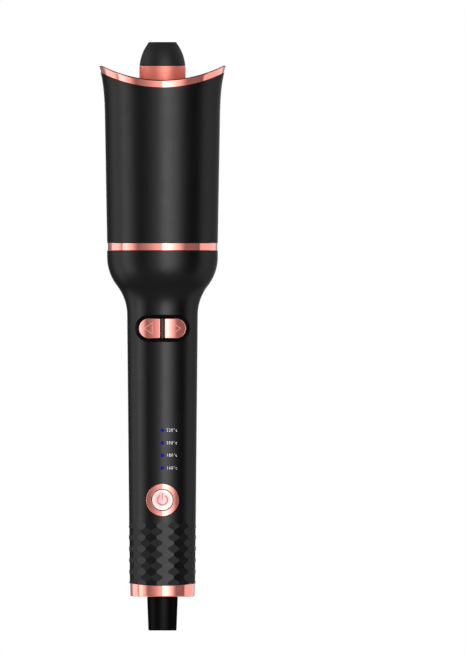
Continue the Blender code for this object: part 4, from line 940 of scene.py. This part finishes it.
def makeScrew(node):
    x, _, z = middleOf(node)
    top = screwTop(node)
    base = top - screwLook["rise"]
    collar = top - screwLook["collar"]
    wide, radius = screwLook["well"] - screwLook["fit"], screwLook["radius"]
    profile = roundCorners([(0, base, 0), (wide, base, 0), (wide, collar, 0), (radius, collar, 0),
                            (radius, top, screwLook["edge"]), (0, top, 0)])
    rows = [[(u, y, v) for u, v in circleXZ(x, z, r, screwLook["columns"], first=0)]
            if r > meshing["onAxis"] else [(x, y, z)] for r, y in profile]
    piece = lattice(screws[node], rows, "screwBlack")
    long, slim = screwLook["driveReach"], screwLook["driveHalf"]
    cross = [(-long, -slim), (-slim, -slim), (-slim, -long)]
    for _ in range(3):
        cross += [(-b, a) for a, b in cross[-3:]]  # a quarter turn on
    outline = [(x + a, z + b) for a, b in cross]
    carve(piece, prismY("drive", outline, top - screwLook["driveDepth"], top + screwLook["driveOut"]))
    return settle(evenShading(piece), "housing", node)

for node in screws:
    makeScrew(node)
print("screws made")

# Barrel and cap, which turn together with the hub
barrelLook = {"columns": 128, "wall": 1.1, "edge": 0.2, "capArc": 24.25, "capBase": 12.6, "capTop": 7.6,
              "capEdge": 0.55, "capRows": 18, "capPlug": 7.0, "plugIn": 1.4, "plugRound": 0.4}
hubLook = {"fit": 0.3, "shaftIn": 1.3, "flange": 3, "edge": 0.4, "ledgeRound": 0.3}

def makeBarrel():
    outer = reachOf("barrel")
    inner = outer - barrelLook["wall"]
    foot = bottomOf("barrel")
    top = bottomOf("barrel_cap") + barrelLook["capPlug"] - shownSeam
    edge = barrelLook["edge"]
    points = [(outer, foot, edge), (outer, top, edge), (inner, top, edge), (inner, foot, 0)]
    return turnedPiece("heatedBarrel", points, "roseCeramic", "rotor", "barrel", barrelLook["columns"])

def makeBarrelCap():
    low, high = bottomOf("barrel_cap"), topOf("barrel_cap")
    foot = low + barrelLook["capPlug"]
    base, top = barrelLook["capBase"], barrelLook["capTop"]
    tall = high - barrelLook["capEdge"] / 2 - foot
    arc, count = barrelLook["capArc"], barrelLook["capRows"]
    half = math.asin(math.hypot(base - top, tall) / 2 / arc)
    start = math.pi / 2 - math.atan2(tall, base - top) + half
    turns = [start - 2 * half * k / count for k in range(count + 1)]
    inside, under = base - arc * math.cos(turns[-1]), -arc * math.sin(turns[-1])
    side = [(inside + arc * math.cos(turn), foot + under + arc * math.sin(turn), 0) for turn in turns]
    side[0] = (side[0][0], high, barrelLook["capEdge"])
    side[-1] = (side[-1][0], foot, barrelLook["edge"])
    plug = base - barrelLook["plugIn"]
    points = [(0, high, 0)] + side + [(plug, foot, 0), (plug, low, barrelLook["plugRound"]), (0, low, 0)]
    return turnedPiece("barrelCap", points, "capBlack", "rotor", "barrel_cap", barrelLook["columns"])

def makeBarrelHub():
    low, high, outer = sizeOf("barrel_hub")
    plug = outer - barrelLook["wall"] - hubLook["fit"]
    bore = reachOf("drive_shaft") - hubLook["shaftIn"]
    ledge = low + hubLook["flange"]
    edge = hubLook["edge"]
    points = [(bore, low, 0), (outer, low, edge), (outer, ledge, hubLook["ledgeRound"]), (plug, ledge, 0),
              (plug, high, edge), (bore, high, 0)]
    return turnedPiece("barrelHub", points, "heatProof", "rotor", "barrel_hub")

# Floor of the chamber, with a spigot that carries the liner and a seat for the upper bearing
floorLook = {"shaftHole": 3.4, "plate": 4.4, "flange": 3, "spigotIn": 2.0, "spigotWall": 2.2,
             "seatOut": 9.5, "seatIn": 7.3, "edge": 0.4, "smallEdge": 0.3}
sleeveLook = {"bore": 3.6, "topDrop": 5.6, "topRadius": 8.45, "endRadius": 7.75, "neck": 6.5,
              "flange": 2, "flangeEdge": 0.3, "topEdge": 0.25, "endEdge": 0.6, "boreEdge": 0.4}

def makeChamberFloor():
    low, top, edge = sizeOf("chamber_floor")
    spigot = edge - floorLook["spigotIn"]
    inner = spigot - floorLook["spigotWall"]
    ledge, under, seat = top - floorLook["flange"], top - floorLook["plate"], bottomOf("upper_bearing")
    hole, out, bearing = floorLook["shaftHole"], floorLook["seatOut"], floorLook["seatIn"]
    size, small = floorLook["edge"], floorLook["smallEdge"]
    points = [(hole, top, 0), (edge, top, size), (edge, ledge, small), (spigot, ledge, 0),
              (spigot, low, size), (inner, low, size), (inner, ledge, 0), (out, ledge, 0),
              (out, seat, small), (bearing, seat, 0), (bearing, under, 0), (hole, under, 0)]
    return turnedPiece("chamberFloor", points, "heatProof", "housing", "chamber_floor")

def makeSleeve():
    low, high, wide = sizeOf("cord_sleeve")
    top, ledge = high - sleeveLook["topDrop"], high - sleeveLook["flange"]
    bore, neck, rim = sleeveLook["bore"], sleeveLook["neck"], sleeveLook["flangeEdge"]
    points = [(bore, high, 0), (wide, high, rim), (wide, ledge, rim), (neck, ledge, 0), (neck, top, 0),
              (sleeveLook["topRadius"], top, sleeveLook["topEdge"]),
              (sleeveLook["endRadius"], low, sleeveLook["endEdge"]), (bore, low, sleeveLook["boreEdge"])]
    return turnedPiece("cordSleeve", points, "sleeveBlack", "sleeve", "cord_sleeve")

makeBarrel()
makeBarrelCap()
makeBarrelHub()
makeChamberFloor()
makeSleeve()
print("barrel, floor and sleeve made")

# Finishes of the pieces inside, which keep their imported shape
insideFinishes = {
    "mouldedBlack": ("swivel_housing", "brush_block", "switch_left", "switch_right", "switch_power"),
    "brightSteel": ("upper_bearing", "lower_bearing", "gear_motor", "drive_shaft"),
    "naturalNylon": ("gear_plate", "barrel_gear", "plunger_left", "plunger_right", "plunger_power"),
    "contactBrass": ("slip_ring", "motor_pinion"),
    "milledAluminium": ("heater_shoe_front", "heater_shoe_rear"),
    "whiteAlumina": ("heater_plate",),
    "boardGreen": ("control_board",),
}
for finish, pieces in insideFinishes.items():
    for name in pieces:
        nodes[name].data.materials.clear()
        nodes[name].data.materials.append(finishes[finish])
print("inner pieces finished:", sum(len(pieces) for pieces in insideFinishes.values()))

# Camera, studio and floor
studio = {"heightAcross": 0.3608, "cameraX": 0.0388, "cameraZ": 0.1664, "cameraAway": 1.2, "bright": 4.2,
          "ambient": 0.106, "panelsTo": 24, "ambientFrom": 40, "topSize": 1.6, "topPower": 12.0,
          "topHeight": 1.7, "floorSize": 6.0, "floorDrop": 0.002}
# Tall light panels round the object: azimuth in degrees from the front towards +X, and brightness
panels = [(-180, 1.3), (-174, 1.15), (-168, 0.09), (-136, 0.09), (-129, 0.52), (-108, 0.54), (-98.5, 0.3),
          (-93, 0.03), (-92, 0.72), (-82, 0.76), (-75, 0.54), (-67, 0.33), (-60, 0.15), (-53, 0.015),
          (-39, 0.06), (-26, 0.14), (-13, 0.27), (-0.4, 0.39), (0.4, 1.3), (9, 1.24), (21, 0.84), (28, 0.58),
          (35, 0.35), (42, 0.16), (49, 0.025), (84, 0.01), (87, 0.28), (126, 0.36), (134, 0.44), (148, 0.42),
          (153, 0.07), (168, 0.38)]

def makeCamera():
    lens = bpy.data.cameras.new("camera")
    lens.type = "ORTHO"
    lens.ortho_scale = studio["heightAcross"]
    camera = addObject("camera", lens)
    camera.location = (studio["cameraX"], -studio["cameraAway"], studio["cameraZ"])
    camera.rotation_euler = (math.pi / 2, 0, 0)
    scene.camera = camera

def makeStudio():
    # the panels end softly above and below, where an even ambient light takes over
    world = bpy.data.worlds.new("studio")
    scene.world = world
    world.use_nodes = True
    tree = world.node_tree
    tree.nodes.clear()
    way = addNode(tree, "TexCoord", "Generated", {})
    parts = tree.nodes.new("ShaderNodeSeparateXYZ")
    plug(tree, parts, {"Vector": way})
    flip = addNode(tree, "Math", 0, {0: parts.outputs["Y"], 1: -1}, operation="MULTIPLY")
    azimuth = addNode(tree, "Math", 0, {0: parts.outputs["X"], 1: flip}, operation="ARCTAN2")
    share = rangeTo(tree, azimuth, -math.pi, math.pi)
    ramp = tree.nodes.new("ShaderNodeValToRGB")
    plug(tree, ramp, {"Fac": share})
    stops = ramp.color_ramp.elements
    while len(stops) < len(panels):
        stops.new(0.5)
    for stop, (degrees, level) in zip(stops, panels):
        stop.position = (degrees + 180) / 360
        stop.color = tint(level)
    rise = addNode(tree, "Math", 0, {0: parts.outputs["Z"]}, operation="ABSOLUTE")
    first, last = [math.sin(math.radians(studio[name])) for name in ("panelsTo", "ambientFrom")]
    fade = rangeTo(tree, rise, first, last, 1, 0, interpolation_type="SMOOTHSTEP")
    light = mixed(tree, fade, tint(studio["ambient"]), ramp.outputs["Color"])
    soft = addNode(tree, "Background", "Background", {"Color": light, "Strength": studio["bright"]})
    paper = addNode(tree, "Background", "Background", {"Color": tint(1)})
    seen = addNode(tree, "LightPath", "Is Camera Ray", {})
    either = addNode(tree, "MixShader", "Shader", {"Fac": seen, 1: soft, 2: paper})
    plug(tree, tree.nodes.new("ShaderNodeOutputWorld"), {"Surface": either})

def makeSoftTop():
    # a wide soft light overhead that gives the floor its shadow and isn't mirrored by the object
    light = bpy.data.lights.new("softTop", "AREA")
    light.shape = "DISK"
    light.size = studio["topSize"]
    light.energy = studio["topPower"]
    lamp = addObject("softTop", light)
    lamp.location = (0, 0, studio["topHeight"])
    lamp.visible_glossy = False

def makeFloor():
    # the object stands just over it; neither mirrored by the object nor in the way of the low light
    half = studio["floorSize"] / 2
    bm = bmesh.new()
    bm.faces.new([bm.verts.new((x * half, y * half, -studio["floorDrop"]))
                  for x, y in ((-1, -1), (1, -1), (1, 1), (-1, 1))])
    mesh = bpy.data.meshes.new("floor")
    bm.to_mesh(mesh)
    bm.free()
    mesh.materials.append(finishes["paleFloor"])
    floor = addObject("floor", mesh)
    floor.visible_glossy = False
    floor.visible_diffuse = False
    floor.visible_shadow = False
    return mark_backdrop(floor)

makeCamera()
makeStudio()
makeSoftTop()
makeFloor()
scene.view_settings.view_transform = "Standard"
print("camera, studio and floor made")
